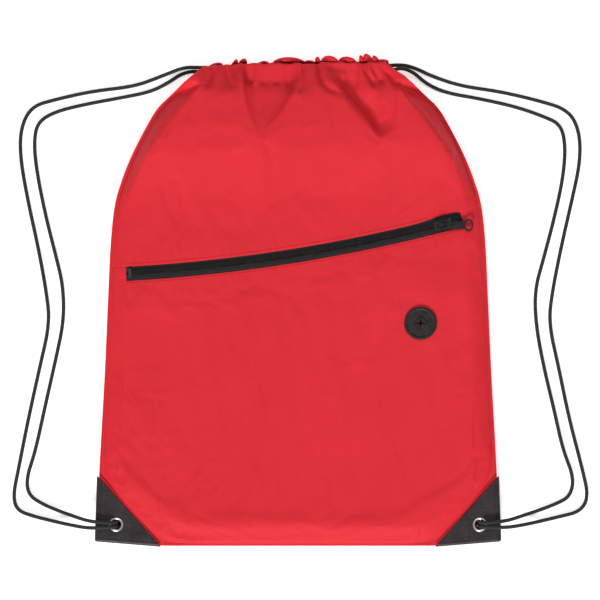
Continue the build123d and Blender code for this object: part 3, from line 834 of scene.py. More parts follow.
def ledge(x, y, path, near, far, depth):
    """A slope that falls towards a path's left side and rises steeply again past the path."""
    distance, share = along_path(x, y, path)
    (ax, ay), (bx, by) = path[0], path[-1]
    side = np.sign((x - ax) * (by - ay) - (y - ay) * (bx - ax))
    across = distance * side
    fall = np.where(across < far, (across + near) / (near + far), (2 * far - across) / far)
    ends = np.clip(share / 0.2, 0, 1) * np.clip((1.0 - share) / 0.16, 0, 1)
    fall = np.clip(fall, 0, 1)
    return depth * fall * fall * (3 - 2 * fall) * ends


def gathers(x, y, seed):
    """Ripples that run down from the hem and die out, the wide ones last."""
    below = np.maximum(HEM_Y - y, 0)
    lean = x * (1 + 0.0035 * below)
    small = noise_line(lean, 4.6, seed) * np.exp(-below / 8.0) * 1.2
    large = noise_line(lean, 11.0, seed + 1) * np.exp(-below / 24.0) * 1.6
    near = ramp_up(y, 110, 60)
    return (small + large) * near


TAUT_LINE = ((151.0, 97.0), (80.0, 190.0))


def front_height(x, y):
    """The front sheet's middle height."""
    open_side = mouth_share(y)
    groove = np.exp(-(((side_distance(x, y) - 3.6) / 1.3) ** 2))
    seam = groove * np.clip((y + 140) / 20, 0, 1) * (1 - open_side)
    d = edge_distance(x, y)
    (ax, ay), (bx, by) = TAUT_LINE
    outside = ((np.abs(x) - ax) * (by - ay) - (y - ay) * (bx - ax)) / np.hypot(ax - bx, ay - by)
    band = np.clip((d - FLANGE) / np.maximum(d - FLANGE + outside, 9), 0, 1)
    shoulder = ramp_up(y, 92, 16)
    up = rise(d, 15) * (1 - shoulder) + (0.85 * band + 0.15 * rise(d, 15)) * shoulder
    up = up + (1 - up) * open_side * 0.93
    z = FRONT_SEAM + (FRONT_MID - FRONT_SEAM) * up - 0.5 * seam
    inside = ramp_up(d, FLANGE, 14)
    calm = ramp_up(np.abs(zip_distance(x, y)), 9, 18)
    calm *= ramp_up(np.hypot(x - PORT[0], y - PORT[1]), 15, 14)
    slack = noise_field(x, y, 66, 1) * 0.4 + noise_field(x * 1.6, y * 0.7, 26, 2) * 0.08
    z += slack * inside * calm
    swell = 0.5 - 0.5 * np.cos(pi * ramp_up(y, 66, 84))
    fall = MOUTH_SLOPE * 2.5 * np.logaddexp(0, (y - 180) / 2.5)
    z += (BILLOW * swell - fall * np.clip((96 - np.abs(x)) / 16, 0, 1)) * up
    for shape in TONGUES:
        z -= tongue(x, y, *shape) * np.clip((206 - y) / 18, 0, 1)
    z -= ledge(x, y, LEDGE, 15.0, 5.0, 6.2) * np.clip((204 - y) / 14, 0, 1)
    z += folded(x, y, SOFT_FOLDS) * calm * np.clip((d - 1) / 8 + open_side, 0, 1)
    z += gathers(x, y, 5) * np.clip((d - 1) / 6 + open_side, 0, 1)
    z += np.where(y > 170, folded(x, y, HEM_FOLDS), 0)
    over = OVER_CASING - 0.3 * np.maximum(HEM_Y + 1 - y, 0)
    z = np.where(y > 165, over + 0.9 * np.logaddexp(0, (z - over) / 0.9), z)
    off = zip_distance(x, y)
    beyond = np.minimum(np.abs(off + ZIP_SLOT), np.abs(off - ZIP_SLOT))
    on_zip = (x > ZIP_END_X[0] - 3) & (x < ZIP_END_X[1] + 3)
    pucker = noise_line(x, 4.2, 9) * np.exp(-((beyond - 5) / 5.5) ** 2) * 0.42
    return z + pucker * inside * on_zip


def back_height(x, y):
    """The back sheet's middle height: it lies flat and turns up to the seams."""
    high = ramp_up(y, 60, 100)
    d = edge_distance(x, y)
    up = rise(d, 13 + 4 * high)
    up = up + (1 - up) * mouth_share(y)
    z = BACK_SEAM + (BACK_MID - BACK_SEAM) * up
    slack = (1 + noise_field(x, y, 48, 21)) * 0.35 + (1 + noise_field(x, y, 20, 22)) * 0.12
    z += slack * ramp_up(d, 12, 14)
    z += (1 + noise_line(x, 9.0, 23)) * 0.5 * ramp_up(y, 150, 40)
    return z


# ---- sheets of cloth ----
def columns_for(spacing, extra=()):
    """Places across a panel, -1 at its left seam to 1 at its right."""
    even = np.linspace(-1, 1, int(2 * OUTLINE[0][0] / spacing) + 1)
    return np.unique(np.concatenate([even, np.asarray(extra, float)]))


def edge_places(columns, edge):
    """An edge's height on the page at each column, where edge is a function of x."""
    y = edge(columns * OUTLINE[5][0])
    for _ in range(12):
        y = edge(columns * half_width(y))
    return y


def between(columns, low, high, rows):
    """A panel's grid of x and y between two edges."""
    share = np.asarray(rows)[:, None]
    y = low[None, :] * (1 - share) + high[None, :] * share
    return columns[None, :] * half_width(y), y


def add_hem(points, hem_y, inner_z, outer_sign, curl=0.0):
    """Folds a panel's top edge over and carries it down inside to the stitch line.

    The inner part may curl up this far where it stands out past the other layer's hem."""
    x, y, z = (points[-1, :, i] for i in range(3))
    top_z = inner_z + curl * curl_share(y)
    half, sweep = (z - top_z) / 2, 1.4
    rows = [points]
    for turn in np.linspace(0, pi, 9)[1:]:
        fold = np.stack([x, y + sweep * np.sin(turn), top_z + half * (1 + np.cos(turn))], -1)
        rows.append(fold[None])
    down = np.linspace(0, 1, 17)[1:] ** 1.5
    outer_y = points[:, :, 1]
    for share in down:
        inner_y = y + (hem_y - y) * share
        outer = [np.interp(t, outer_y[:, i], points[:, i, 2]) for i, t in enumerate(inner_y)]
        near_outer = np.array(outer) - outer_sign * 0.5
        close = np.clip((share - HEM_CLOSES) / (1 - HEM_CLOSES), 0, 1) ** 2
        level = (inner_z + curl * curl_share(inner_y)) * (1 - close) + near_outer * close
        inner_x = x * half_width(inner_y) / half_width(y)
        rows.append(np.stack([inner_x, inner_y, level], -1)[None])
    return np.concatenate(rows)


def curl_share(y):
    """0 inside the front layer's hem and 1 well past it."""
    t = np.clip((y - FRONT_HEM_Y + 0.6) / 2.6, 0, 1)
    return t * t * (3 - 2 * t)


def punch(piece, centre, radius):
    """Cuts a round hole in a sheet and fits the cut edge to the circle."""
    points = coordinates(piece)
    reach = np.hypot(points[:, 0] - centre[0], points[:, 1] - centre[1])
    gone = {int(i) for i in np.nonzero(reach < radius)[0]}
    faces = [tuple(p.vertices) for p in piece.data.polygons]
    kept = [f for f in faces if not any(i in gone for i in f)]
    cut = {i for f in faces if any(j in gone for j in f) for i in f if i not in gone}
    for i in cut:
        points[i, :2] = centre[:2] + (points[i, :2] - centre[:2]) * (radius / reach[i])
    used = sorted({i for f in kept for i in f})
    renamed = {old: new for new, old in enumerate(used)}
    mesh = bpy.data.meshes.new(piece.data.name)
    mesh.from_pydata((points[used] * MM).tolist(), [], [tuple(renamed[i] for i in f) for f in kept])
    mesh.materials.append(piece.data.materials[0])
    mesh.polygons.foreach_set("use_smooth", [True] * len(mesh.polygons))
    piece.data = mesh


CLOTH_HOLE, PORT_HOLE, PATCH_HOLE = 4.7, 10.6, 4.5  # radii of the punched holes


def punch_grommets(sheet):
    """The two holes in a sheet for the eyelets."""
    for centre in GROMMETS.values():
        punch(sheet, centre, CLOTH_HOLE)


def settle(piece, pinned, looseness, cap, frames=18):
    """Lets cloth buckle and ease between its pinned places, and keeps the result."""
    before = coordinates(piece)
    group = piece.vertex_groups.new(name="pinned")
    for level in np.unique(np.round(pinned, 1)):
        chosen = np.nonzero(np.round(pinned, 1) == level)[0]
        group.add([int(i) for i in chosen], float(level), "REPLACE")
    cloth = piece.modifiers.new("Cloth", "CLOTH")
    cloth.settings.quality = 5
    cloth.settings.mass = 0.15
    cloth.settings.tension_stiffness = 20
    cloth.settings.compression_stiffness = 20
    cloth.settings.shear_stiffness = 8
    cloth.settings.bending_stiffness = 0.6
    cloth.settings.vertex_group_mass = group.name
    cloth.settings.pin_stiffness = 5
    cloth.settings.shrink_min = -looseness
    cloth.settings.effector_weights.gravity = 0
    cloth.collision_settings.use_collision = False
    scene = bpy.context.scene
    for number in range(1, frames + 1):
        scene.frame_set(number)
    apply_modifiers(piece)
    scene.frame_set(1)
    moved = coordinates(piece) - before
    far = np.linalg.norm(moved, axis=1)
    set_coordinates(piece, before + moved * np.minimum(1, cap / np.maximum(far, 1e-9))[:, None])
    piece.vertex_groups.clear()


def grid_sheet(name, points, material):
    """A sheet from its grid of points."""
    rows, columns = points.shape[:2]
    return make_mesh(name, points, grid_faces(rows, columns), material)


def finish_cloth(piece, nodes, thickness=CLOTH):
    """Thickens a sheet and puts it on the bag in place of CAD nodes."""
    thicken(piece, thickness)
    stand_for(piece, nodes)
    return piece


SPACING = 1.5  # between a sheet's columns
# The back layer's gathered edge, which shows above the front's: arches from one place
# to another, with the height of each.
SCALLOPS = [
    (-82, -76, 202.4), (-75, -63, 204.9), (-57, -51.6, 207.4), (-52, -43.5, 208.0),
    (-36, -23, 206.1), (-24, 7.5, 209.2), (4, 15, 206.6), (14.8, 19.8, 209.6), (20, 35.4, 210.4),
    (35.2, 50.8, 209.6), (54, 59, 210.8), (57.6, 66.4, 212.1), (65.8, 71.4, 210.7),
    (68, 80, 207.4),
]


def back_hem_edge(x):
    """The gathered edge's height on the page."""
    base = 202.4 + 0.012 * x + 2.6 / (1 + np.exp(-(x - 6) / 2))
    edge = base
    for start, end, top in SCALLOPS:
        across = np.clip((x - (start + end) / 2) / ((end - start) / 2), -1, 1)
        edge = np.maximum(edge, base - 0.6 + (top - base + 0.6) * (1 - across**2) ** 0.5)
    return edge


def step_up(x, place, width=0.12):
    """0 left of a place and 1 right of it."""
    return 1 / (1 + np.exp(-np.clip((x - place) / width, -60, 60)))


def slot_top(x):
    """The zipper opening's upper edge, which bulges up round the slider."""
    bulge = 1.8 * step_up(x, 110, 4.5) * (1 - step_up(x, ZIP_END_X[1] - 4, 1.2))
    return zip_y(x, -ZIP_SLOT - bulge)


def slot_columns():
    """Extra places across a panel, at the zipper's two squared ends."""
    ends = [x / float(half_width(zip_y(x))) for x in ZIP_END_X]
    return [e + shift for e in ends for shift in (-0.004, -0.002, 0.002, 0.004)]


def upper_panel():
    """The front above the zipper, up to the mouth and folded over into the casing."""
    columns = columns_for(SPACING, slot_columns())
    low = edge_places(columns, slot_top)
    high = FRONT_HEM_Y - 1.4 + 1.2 * noise_line(columns * MOUTH_HALF, 5.4, 31) + 1.1 * columns
    high -= 1.3 * np.exp(-(((columns + 1) / 0.16) ** 2))
    low_rows = np.linspace(0, 0.06, 8)[:-1]
    x, y = between(columns, low, high, np.concatenate([low_rows, np.linspace(0.06, 1, 100)]))
    z = front_height(x, y)
    z -= np.exp(-((y - low[None, :]) / 0.5) ** 2) * 0.25
    outer = np.stack([x, y, z], -1)
    inner_z = CASING_FRONT - CORD_D / 2 - 0.75
    points = add_hem(outer, HEM_Y, inner_z, 1)
    right_end = points[:, :, 0] > 60
    points[:, :, 0] *= 1 - 0.03 * ramp_up(points[:, :, 1], 193, 7) * right_end
    sheet = grid_sheet("front_upper_cloth", points, RED)
    flat = points.reshape(-1, 3)
    hold = np.zeros(points.shape[:2])
    hold[:4] = 1
    hold[len(outer) :] = 1
    hold = hold.ravel()
    hold[flat[:, 1] > 176] = 1
    hold[side_distance(flat[:, 0], flat[:, 1]) < 5] = 1
    settle(sheet, hold, 0.0022, 2.0)
    return finish_cloth(sheet, ["front_upper_panel", "front_hem_casing"])


def pocket_top(x):
    """The pocket's upper edge: below the zipper, and against the upper panel past its ends."""
    opening = step_up(x, ZIP_END_X[0]) * (1 - step_up(x, ZIP_END_X[1]))
    offset = -ZIP_SLOT + 2 * ZIP_SLOT * opening
    return zip_y(x, offset) - 0.15


def pocket_panel():
    """The front below the zipper."""
    columns = columns_for(SPACING, slot_columns())
    low = edge_places(columns, bottom_edge)
    high = pocket_top(columns * half_width(edge_places(columns, zip_y)))
    high_rows = np.linspace(0.97, 1, 7)[1:]
    x, y = between(columns, low, high, np.concatenate([np.linspace(0, 0.97, 160), high_rows]))
    end_x = ZIP_END_X[1]
    end_y = zip_y(end_x)
    lean = np.clip(1 - np.abs(x - end_x) / 5, 0, 1) * np.clip(1 - np.abs(y - end_y) / 22, 0, 1)
    x = x - 0.4 * (y - end_y + 1) * lean
    z = front_height(x, y)
    z -= np.exp(-((y - high[None, :]) / 0.5) ** 2) * 0.25
    points = np.stack([x, y, z], -1)
    sheet = grid_sheet("pocket_front_cloth", points, RED)
    flat = points.reshape(-1, 3)
    hold = np.zeros(points.shape[:2])
    hold[-4:] = 1
    hold = hold.ravel()
    hold[seam_distance(flat[:, 0], flat[:, 1]) < 5] = 1
    hold[patch_distance(flat[:, 0], flat[:, 1]) < 4] = 1
    hold[np.hypot(flat[:, 0] - PORT[0], flat[:, 1] - PORT[1]) < 16] = 1
    settle(sheet, hold, 0.0016, 2.0)
    punch(sheet, PORT, PORT_HOLE)
    punch_grommets(sheet)
    return finish_cloth(sheet, ["pocket_front_panel"])


CORD_GAP = 0.15  # room between a cord and the back panel's outer layer


def back_sheet():
    """The back, up to its scalloped edge and folded over into the casing."""
    columns = columns_for(SPACING)
    low = edge_places(columns, bottom_edge)
    high = back_hem_edge(columns * MOUTH_HALF) - 1.4
    x, y = between(columns, low, high, np.linspace(0, 1, 210))
    outer = np.stack([x, y, back_height(x, y)], -1)
    ripple = noise_line(x[-1], 5.0, 33) + 1
    outer[-14:, :, 2] += np.linspace(0, 1, 14)[:, None] * (ripple * 0.5)[None, :]
    under_cord = CASING_BACK - CORD_D / 2 - CLOTH / 2 - CORD_GAP
    in_casing = (y > HEM_Y - 4) & (np.abs(x) < MOUTH_HALF + 5)
    outer[in_casing, 2] = np.minimum(outer[in_casing, 2], under_cord)
    inner_z = CASING_BACK + CORD_D / 2 + 0.6 + 1.8 * (noise_line(x[-1], 3.6, 34) + 0.9)
    points = add_hem(outer, HEM_Y, inner_z, -1, 8.5)
    sheet = grid_sheet("back_cloth", points, RED)
    punch_grommets(sheet)
    return finish_cloth(sheet, ["back_panel", "back_hem_casing"])


def lining_sheet():
    """The pocket's inner sheet, sewn in at the seams and up to the zipper's upper tape."""
    columns = columns_for(SPACING * 2)
    low = edge_places(columns, bottom_edge)
    high = edge_places(columns, lambda x: zip_y(x, -TAPE_OUT + 0.6))
    x, y = between(columns, low, high, np.linspace(0, 1, 110))
    inside = ramp_up(seam_distance(x, y), 4, 20)
    z = SEAM_Z + noise_field(x, y, 40, 41) * 0.35 * inside
    top = np.stack([x[-1], y[-1], z[-1]], -1)
    reach = ramp_up(side_distance(x[-1], y[-1]), 7, 10)
    lift = (TAPE_LOW - 0.3 - SEAM_Z) * reach
    shares = np.linspace(0, 1, 6)[1:]
    wall = [top + np.stack([0 * lift, 0 * lift, lift * share], -1) for share in shares]
    points = np.concatenate([np.stack([x, y, z], -1), np.array(wall)])
    sheet = grid_sheet("pocket_lining_cloth", points, LINING)
    punch_grommets(sheet)
    return finish_cloth(sheet, ["pocket_lining"], 0.3)


# ---- stitches ----
def height_over(piece, places, from_below=False):
    """A piece's surface height over each place on the page."""
    points = coordinates(piece)
    tree = BVHTree.FromPolygons(points.tolist(), [tuple(p.vertices) for p in piece.data.polygons])
    start, way = (-50.0, 1.0) if from_below else (60.0, -1.0)
    heights = []
    for x, y in places:
        hit = tree.ray_cast(Vector((x, y, start)), Vector((0, 0, way)))
        heights.append(hit[0].z if hit[0] is not None else np.nan)
    return np.array(heights)


def stitch_row(name, path, cloth, material, pitch=3.0, length=2.2, radius=0.24, from_below=False):
    """A row of separate stitches laid on a piece along a path on the page."""
    path = np.asarray(path, float)
    gone = lengths_along(path)
    starts = np.arange(0.4, gone[-1] - length, pitch)
    shares = np.linspace(0, 1, 6)
    at = (starts[:, None] + shares[None, :] * length).ravel()
    flat = np.stack([np.interp(at, gone, path[:, i]) for i in (0, 1)], 1)
    z = height_over(cloth, flat, from_below).reshape(len(starts), -1)
    flat = flat.reshape(len(starts), -1, 2)
    sign = -1 if from_below else 1
    thread_points, faces, sides = [], [], 6
    turns = np.linspace(0, 2 * pi, sides, endpoint=False)
    for line, level in zip(flat, z):
        if np.isnan(level).any():
            continue
        way = line[-1] - line[0]
        way = way / np.linalg.norm(way)
        side = np.array([-way[1], way[0], 0])
        start = len(thread_points)
        for share, (px, py), pz in zip(shares, line, level):
            swell = radius * (0.35 + 0.65 * sin(pi * share) ** 0.5)
            lift = sign * (radius * (1.7 * sin(pi * share) - 0.75))
            centre = np.array([px, py, pz + lift])
            for turn in turns:
                out = cos(turn) * side + sin(turn) * np.array([0, 0, 1])
                thread_points.append(centre + swell * out)
        faces += tube_faces(len(shares), sides, start)
    row = make_mesh(name, thread_points, faces, material)
    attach(row, "bag")
    return row


def outline_path(inset, low_y, high_y, side, steps=300):
    """A line beside one side seam, this far in from it."""
    y = np.linspace(low_y, high_y, steps)
    slope = np.gradient(half_width(y), y)
    long = np.sqrt(1 + slope**2)
    return np.stack([side * (half_width(y) - inset / long), y + inset * slope / long * -1], 1)


def make_stitches(upper, pocket, back):
    """Every row of stitches on the cloth."""
    angles = np.linspace(ZIP_LEFT - 0.05, ZIP_RIGHT + 0.05, 200)
    above, below = zip_place(angles, -8.2, 0)[:, :2], zip_place(angles, 8.2, 0)[:, :2]
    stitch_row("zipper_stitches_upper", above, upper, RED_THREAD, 2.9)
    stitch_row("zipper_stitches_lower", below, pocket, RED_THREAD, 2.9)
    for side, name in ((-1, "left"), (1, "right")):
        seam_y = float(zip_y(side * 158, -ZIP_SLOT))
        lower = outline_path(1.4, -148, seam_y - 2, side)
        higher = outline_path(1.4, seam_y + 2, 186, side)
        stitch_row(f"{name}_seam_stitches_lower", lower, pocket, RED_THREAD)
        stitch_row(f"{name}_seam_stitches_upper", higher, upper, RED_THREAD)
        whole = outline_path(1.4, -148, 184, side)
        stitch_row(f"{name}_seam_stitches_back", whole, back, RED_THREAD, from_below=True)
    x = np.linspace(-114, 114, 200)
    bottom = np.stack([x, bottom_edge(x) + 1.6], 1)
    stitch_row("bottom_stitches_front", bottom, pocket, RED_THREAD)
    stitch_row("bottom_stitches_back", bottom, back, RED_THREAD, from_below=True)
    x = np.linspace(-80, 80, 200)
    hem = np.stack([x, 0 * x + HEM_Y + 0.2], 1)
    stitch_row("front_hem_stitches", hem, upper, RED_THREAD)
    stitch_row("back_hem_stitches", hem, back, RED_THREAD, from_below=True)


# ---- zipper ----
def zip_angle(length):
    """Degrees for a length along the chain."""
    return np.degrees(length / ZIP_R)


STOP_L = 2.5
CHAIN_START = ZIP_LEFT + zip_angle(2 + STOP_L)
CHAIN_END = 14.44 + zip_angle(12.5 / 2 + 0.3)
COIL_PITCH = 1.27


def zipper_tape(side, name):
    """One woven tape, with ribs along it and a thicker edge that carries the coil."""
    offsets = np.linspace(TAPE_IN, TAPE_OUT, 40)
    angles = np.linspace(ZIP_LEFT, ZIP_RIGHT, 300)
    ribs = 0.07 * np.cos(2 * pi * offsets / 1.3) + 0.1 * np.exp(-((offsets - 4.2) / 0.6) ** 2)
    level = (TAPE_LOW + TAPE_HIGH) / 2 - 0.05 + ribs
    waver = noise_line(angles * 24, 6.0, 51 + side)[:, None] * 0.05
    points = zip_place(angles[:, None], side * offsets[None, :], level[None, :] + waver)
    tape = grid_sheet(f"{name}_tape", points, TAPE)
    thicken(tape, 0.36)
    stand_for(tape, [f"{name}_zipper_tape"])


def zipper_coil(side, name):
    """One nylon coil: a flattened helix that meshes with its partner's."""
    steps, sides, wire = 12, 6, 0.33
    length = radians(CHAIN_END - CHAIN_START) * ZIP_R
    turns = length / COIL_PITCH
    t = np.linspace(0, turns, int(turns * steps))
    phase = 2 * pi * t + (pi if side > 0 else 0)
    angle = CHAIN_START + (CHAIN_END - CHAIN_START) * t / turns
    out = side * (1.2 + 1.22 * np.cos(phase))
    low, high = TAPE_HIGH + wire, COIL_TOP - wire
    z = (low + high) / 2 + (high - low) / 2 * np.sin(phase)
    line = zip_place(angle, out, z)
    coil = tube_piece(f"{name}_coil", line, wire, sides, COIL)
    stand_for(coil, [f"{name}_zipper_coil"])


def coil_stitches(side, name):
    """The chain stitch that holds the coil to its tape, as a slim cord over the turns."""
    angles = np.linspace(CHAIN_START, CHAIN_END, 900)
    waver = 0.08 * np.sin(np.radians(angles) * ZIP_R / COIL_PITCH * 2 * pi)
    line = zip_place(angles, side * (1.9 + waver), COIL_TOP - 0.12 + 0.6 * waver)
    cord = tube_piece(f"{name}_coil_thread", line, 0.16, 5, BLACK_THREAD)
    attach(cord, "bag")


def pull_ribs():
    """Raised grip ribs on both faces of the pull tab's strap."""
    low, high = box_mm("zipper_pull_tab")
    x0, x1, y = low[0] + 8.2, low[0] + 17.4, (low[1] + high[1]) / 2
    slope = -np.tan(radians(4.0))
    hinge = next(j for j in frame["joints"] if j["name"] == "pull_tab_flip")["pos_m"]
    points, faces = [], []
    turns = np.linspace(0, pi, 7)
    ends = ((-2.3, 0.2), (-2.1, 1), (2.1, 1), (2.3, 0.2))  # how far across, and how full
    for x in np.arange(x0, x1, 1.5):
        z = hinge[2] / MM + (x - hinge[0] / MM) * slope
        for sign in (1, -1):
            faces += grid_faces(len(ends), len(turns), start=len(points))
            for end, full in ends:
                for turn in turns:
                    height = 0.76 + 0.32 * full * sin(turn)
                    points.append((x + 0.42 * cos(turn), y + end, z + sign * height))
    ribs = make_mesh("pull_tab_ribs", points, faces, MOULDING)
    thicken(ribs, 0.08)
    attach(ribs, "pull_tab")


def make_zipper():
    """Both tapes, coils and coil threads, and the looks of the CAD's own metal and moulding."""
    for side, name in ((-1, "upper"), (1, "lower")):
        zipper_tape(side, name)
        zipper_coil(side, name)
        coil_stitches(side, name)
    pull_ribs()
    for node, material, width in (
        ("zipper_top_stops", STOP, 0.35),
        ("zipper_bottom_stop", STOP, 0.35),
        ("zipper_slider", PAINT, 0.28),
        ("zipper_pull_tab", MOULDING, 0.25),
    ):
        dress(node, material, width)


def dress(node, material, width):
    """Gives a CAD node its material and rounded edges."""
    piece = frame["nodes"][node]
    piece.data.materials.clear()
    piece.data.materials.append(material)
    bevel(piece, width)


# ---- earbud port ----
FLAP_NODES = [f"port_flap_{v}_{h}" for v in ("upper", "lower") for h in ("left", "right")]
FLAP_ANGLES = (135, 45, 225, 315)
SLIT_ARM, SLIT_EDGE, SLIT_TIP = 6.0, 0.34, 0.9
PORT_R, PORT_DISC = 14.0, 11.4
PORT_FACE = box_mm("port_flap_upper_left")[1][2]
PORT_BACK = FRONT_Z + 0.05


def disc_height(x, y):
    """The rubber disc's slightly domed face, with a pucker along each arm of its slit."""
    r = np.hypot(x, y)
    dome = 0.32 * (1 - np.clip(r / PORT_DISC, 0, 1) ** 2)
    arm = np.minimum(np.abs(x), np.abs(y))
    lip = 0.3 * np.exp(-arm / 0.35) * np.clip((SLIT_ARM + 0.8 - r) / 1.2, 0, 1)
    return PORT_FACE + dome - lip


def port_disc():
    """The fixed rubber round the slit: disc, raised rim, outer edge and back."""
    turns = np.linspace(0, 2 * pi, 96, endpoint=False)
    inner = SLIT_ARM / (np.abs(np.cos(turns)) + np.abs(np.sin(turns)))
    rim = [(PORT_DISC, 0.0), (11.8, 0.42), (12.4, 0.76), (13.0, 0.72), (13.6, 0.4)]
    rim += [(PORT_R - 0.1, 0.0)]
    sections = []
    for turn, near in zip(turns, inner):
        across = np.linspace(near, PORT_DISC, 9)[:-1]
        x, y = across * cos(turn), across * sin(turn)
        ring = list(zip(across, disc_height(x, y)))
        ring += [(r, PORT_FACE + up) for r, up in rim]
        ring += [(PORT_R, PORT_FACE - 0.5)]
        ring += [(r, PORT_BACK) for r in (PORT_R - 0.1, 10.0, near)]
        sections.append([(PORT[0] + r * cos(turn), PORT[1] + r * sin(turn), z) for r, z in ring])
    columns = len(sections[0])
    faces = grid_faces(len(turns), columns, round_rows=True, round_columns=True)
    disc = make_mesh("port_disc", np.array(sections), faces, RUBBER)
    disc.data.set_sharp_from_angle(angle=radians(50))
    stand_for(disc, ["port_body"])


def port_flap(node, angle):
    """A quarter of the slit's middle, which meets the disc at its base."""
    s, t = np.meshgrid(np.linspace(0, 1, 14), np.linspace(0, 1, 15), indexing="ij")
    gap = SLIT_EDGE
    reach = SLIT_ARM - gap
    base = np.stack([gap + reach * (1 - t), gap + reach * t], -1) - gap / 2
    place = base * (1 - s[..., None]) + (gap + SLIT_TIP / 2) * s[..., None]
    place = np.maximum(place, gap)
    turn = radians(angle - 45)
    x = place[..., 0] * cos(turn) - place[..., 1] * sin(turn)
    y = place[..., 0] * sin(turn) + place[..., 1] * cos(turn)
    points = np.stack([PORT[0] + x, PORT[1] + y, disc_height(x, y)], -1)
    rows, columns = s.shape
    faces = [f[::-1] for f in grid_faces(rows, columns)]
    flap = make_mesh(f"{node}_rubber", points, faces, RUBBER)
    thicken(flap, 1.0, -1.0)
    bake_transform(flap)
    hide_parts(node)


def make_port():
    """The disc, the ring behind it and the four flaps."""
    port_disc()
    dress("port_backing_ring", RUBBER, 0.3)
    for node, angle in zip(FLAP_NODES, FLAP_ANGLES):
        port_flap(node, angle)


# ---- corner patches and grommets ----
def patch_leaf(side, sign, rows=34, columns=46):
    """One face of a patch: rows run from its slanting edge to the bag's corner."""
    a, b, c = (np.array(p) for p in (PATCH_SIDE, PATCH_CORNER, PATCH_FOOT))
    s = np.linspace(0, 1, rows)[:, None] ** 0.9 * 0.985
    t = np.linspace(0, 1, columns)[None, :]
    t = 0.5 - 0.5 * np.cos(pi * t)
    x = (a[0] * (1 - t) + c[0] * t) * (1 - s) + b[0] * s
    y = (a[1] * (1 - t) + c[1] * t) * (1 - s) + b[1] * s
    to_side = np.abs((x - a[0]) * (b[1] - a[1]) - (y - a[1]) * (b[0] - a[0])) / np.hypot(*(b - a))
    to_foot = np.abs((x - b[0]) * (c[1] - b[1]) - (y - b[1]) * (c[0] - b[0])) / np.hypot(*(c - b))
    edge = np.minimum(to_side, to_foot)
    edge[-1] = 0
    puff = np.sqrt(np.maximum(1 - (1 - np.clip(edge / 2.0, 0, 1)) ** 2, 0))
    stitched = np.exp(-(((edge - 2.9) / 0.8) ** 2)) * 0.3
    slack = noise_field(x * side, y, 14, 61) * 0.22 * np.clip(edge / 6, 0, 1)
    hole = np.hypot(x - abs(GROMMETS["left"][0]), y - EYE_Y)
    slack = slack * ramp_up(hole, 6.5, 5)
    lift = (2.15 * puff - stitched + slack) * (0.9 if sign < 0 else 1.0)
    return np.stack([side * x, y, SEAM_Z + sign * lift], -1)


def corner_patch(name):
    """The coated patch that wraps one corner, both faces in one piece."""
    side = -1 if name == "left" else 1
    front, back = patch_leaf(side, 1), patch_leaf(side, -1)
    rows, columns = front.shape[:2]
    points = np.concatenate([front.reshape(-1, 3), back.reshape(-1, 3)])
    faces = grid_faces(rows, columns)
    faces += [f[::-1] for f in grid_faces(rows, columns, start=rows * columns)]
    if side < 0:
        faces = [f[::-1] for f in faces]
    patch = make_mesh(f"{name}_patch", points, [f[::-1] for f in faces], LEATHER)
    weld = patch.modifiers.new("Weld", "WELD")
    weld.merge_threshold = 0.02 * MM
    apply_modifiers(patch)
    punch(patch, GROMMETS[name], PATCH_HOLE)
    thicken(patch, 0.7, -1.0)
    stand_for(patch, [f"{name}_corner_patch"])
    return patch


def patch_stitches(name, patch):
    """Top stitching inside the patch's side and bottom edges."""
    side = -1 if name == "left" else 1
    inset = 2.9
    top = (PATCH_SIDE[0] - inset, PATCH_SIDE[1] - 1)
    corner = (PATCH_CORNER[0] - inset, PATCH_CORNER[1] + inset)
    foot = (PATCH_FOOT[0] + 2, PATCH_FOOT[1] + inset)
    sides = [(top, corner), (corner, foot)]
    for part, (start, end) in zip(("side", "foot"), sides):
        path = np.linspace(start, end, 40) * (side, 1)
        for face, below in (("front", False), ("back", True)):
            row = f"{name}_patch_stitches_{part}_{face}"
            stitch_row(row, path, patch, BLACK_THREAD, 2.8, 2.0, 0.2, below)


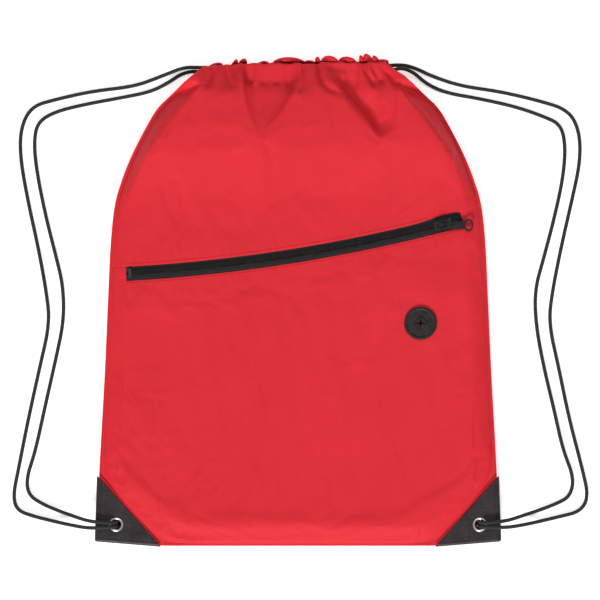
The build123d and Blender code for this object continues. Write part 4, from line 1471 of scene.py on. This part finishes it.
def patch_fold(name, cloth):
    """The narrow red fold of cloth that shows along a patch's slanting edge."""
    side = -1 if name == "left" else 1
    a, c = np.array(PATCH_SIDE), np.array(PATCH_FOOT)
    path = np.linspace(a + (-2.2, 0.4), c + (0.6, 1.4), 80)
    z = height_over(cloth, path * (side, 1))
    z = np.where(np.isnan(z), SEAM_Z + 1.6, z)
    line = np.column_stack([path * (side, 1), np.maximum(z, SEAM_Z + 1.7) + 0.1])
    fold = tube_piece(f"{name}_patch_fold", line, 0.5, 8, RED)
    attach(fold, "bag")


def grommet(name):
    """An eyelet with a rolled flange, and the washer that it is set into."""
    centre = GROMMETS[name]
    low, high = box_mm(f"{name}_eyelet")
    bore, barrel, rim = 3.8, 4.3, 6.4
    base = box_mm(f"{name}_corner_patch")[1][2]
    crest = np.linspace(0, pi, 15)
    middle, half = (bore + rim) / 2, (rim - bore) / 2
    roll = [(middle - half * cos(a), base + 0.05 + (high[2] - base) * sin(a)) for a in crest]
    foot = [(rim - 0.3, base - 0.05), (barrel, base - 0.05), (barrel, low[2] + 0.4)]
    lip = [(5.2, 0.38), (5.4, 0.2), (5.1, 0), (4.2, 0), (bore, 0.3)]
    lip = [(r, low[2] + up) for r, up in lip]
    eyelet = lathe(f"{name}_grommet", roll + foot + lip, centre, NICKEL)
    stand_for(eyelet, [f"{name}_eyelet"])
    low, high = box_mm(f"{name}_eyelet_washer")
    outer, tall = 6.6, high[2] - low[2]
    ring = [(outer - 0.1, 0.3), (5.9, 0), (5.0, 0.1), (barrel, 0.35), (barrel, 0.6 * tall)]
    ring = [(r, low[2] + up) for r, up in ring]
    ring = [(outer, high[2])] + ring + [(barrel + 0.2, high[2])]
    washer = lathe(f"{name}_washer", ring, centre, NICKEL)
    stand_for(washer, [f"{name}_eyelet_washer"])


# ---- the whole bag ----
make_camera()
make_studio()
make_cords()
upper = upper_panel()
pocket = pocket_panel()
back = back_sheet()
lining = lining_sheet()
make_stitches(upper, pocket, back)
make_zipper()
make_port()
for corner in GROMMETS:
    patch = corner_patch(corner)
    patch_stitches(corner, patch)
    patch_fold(corner, pocket)
    grommet(corner)
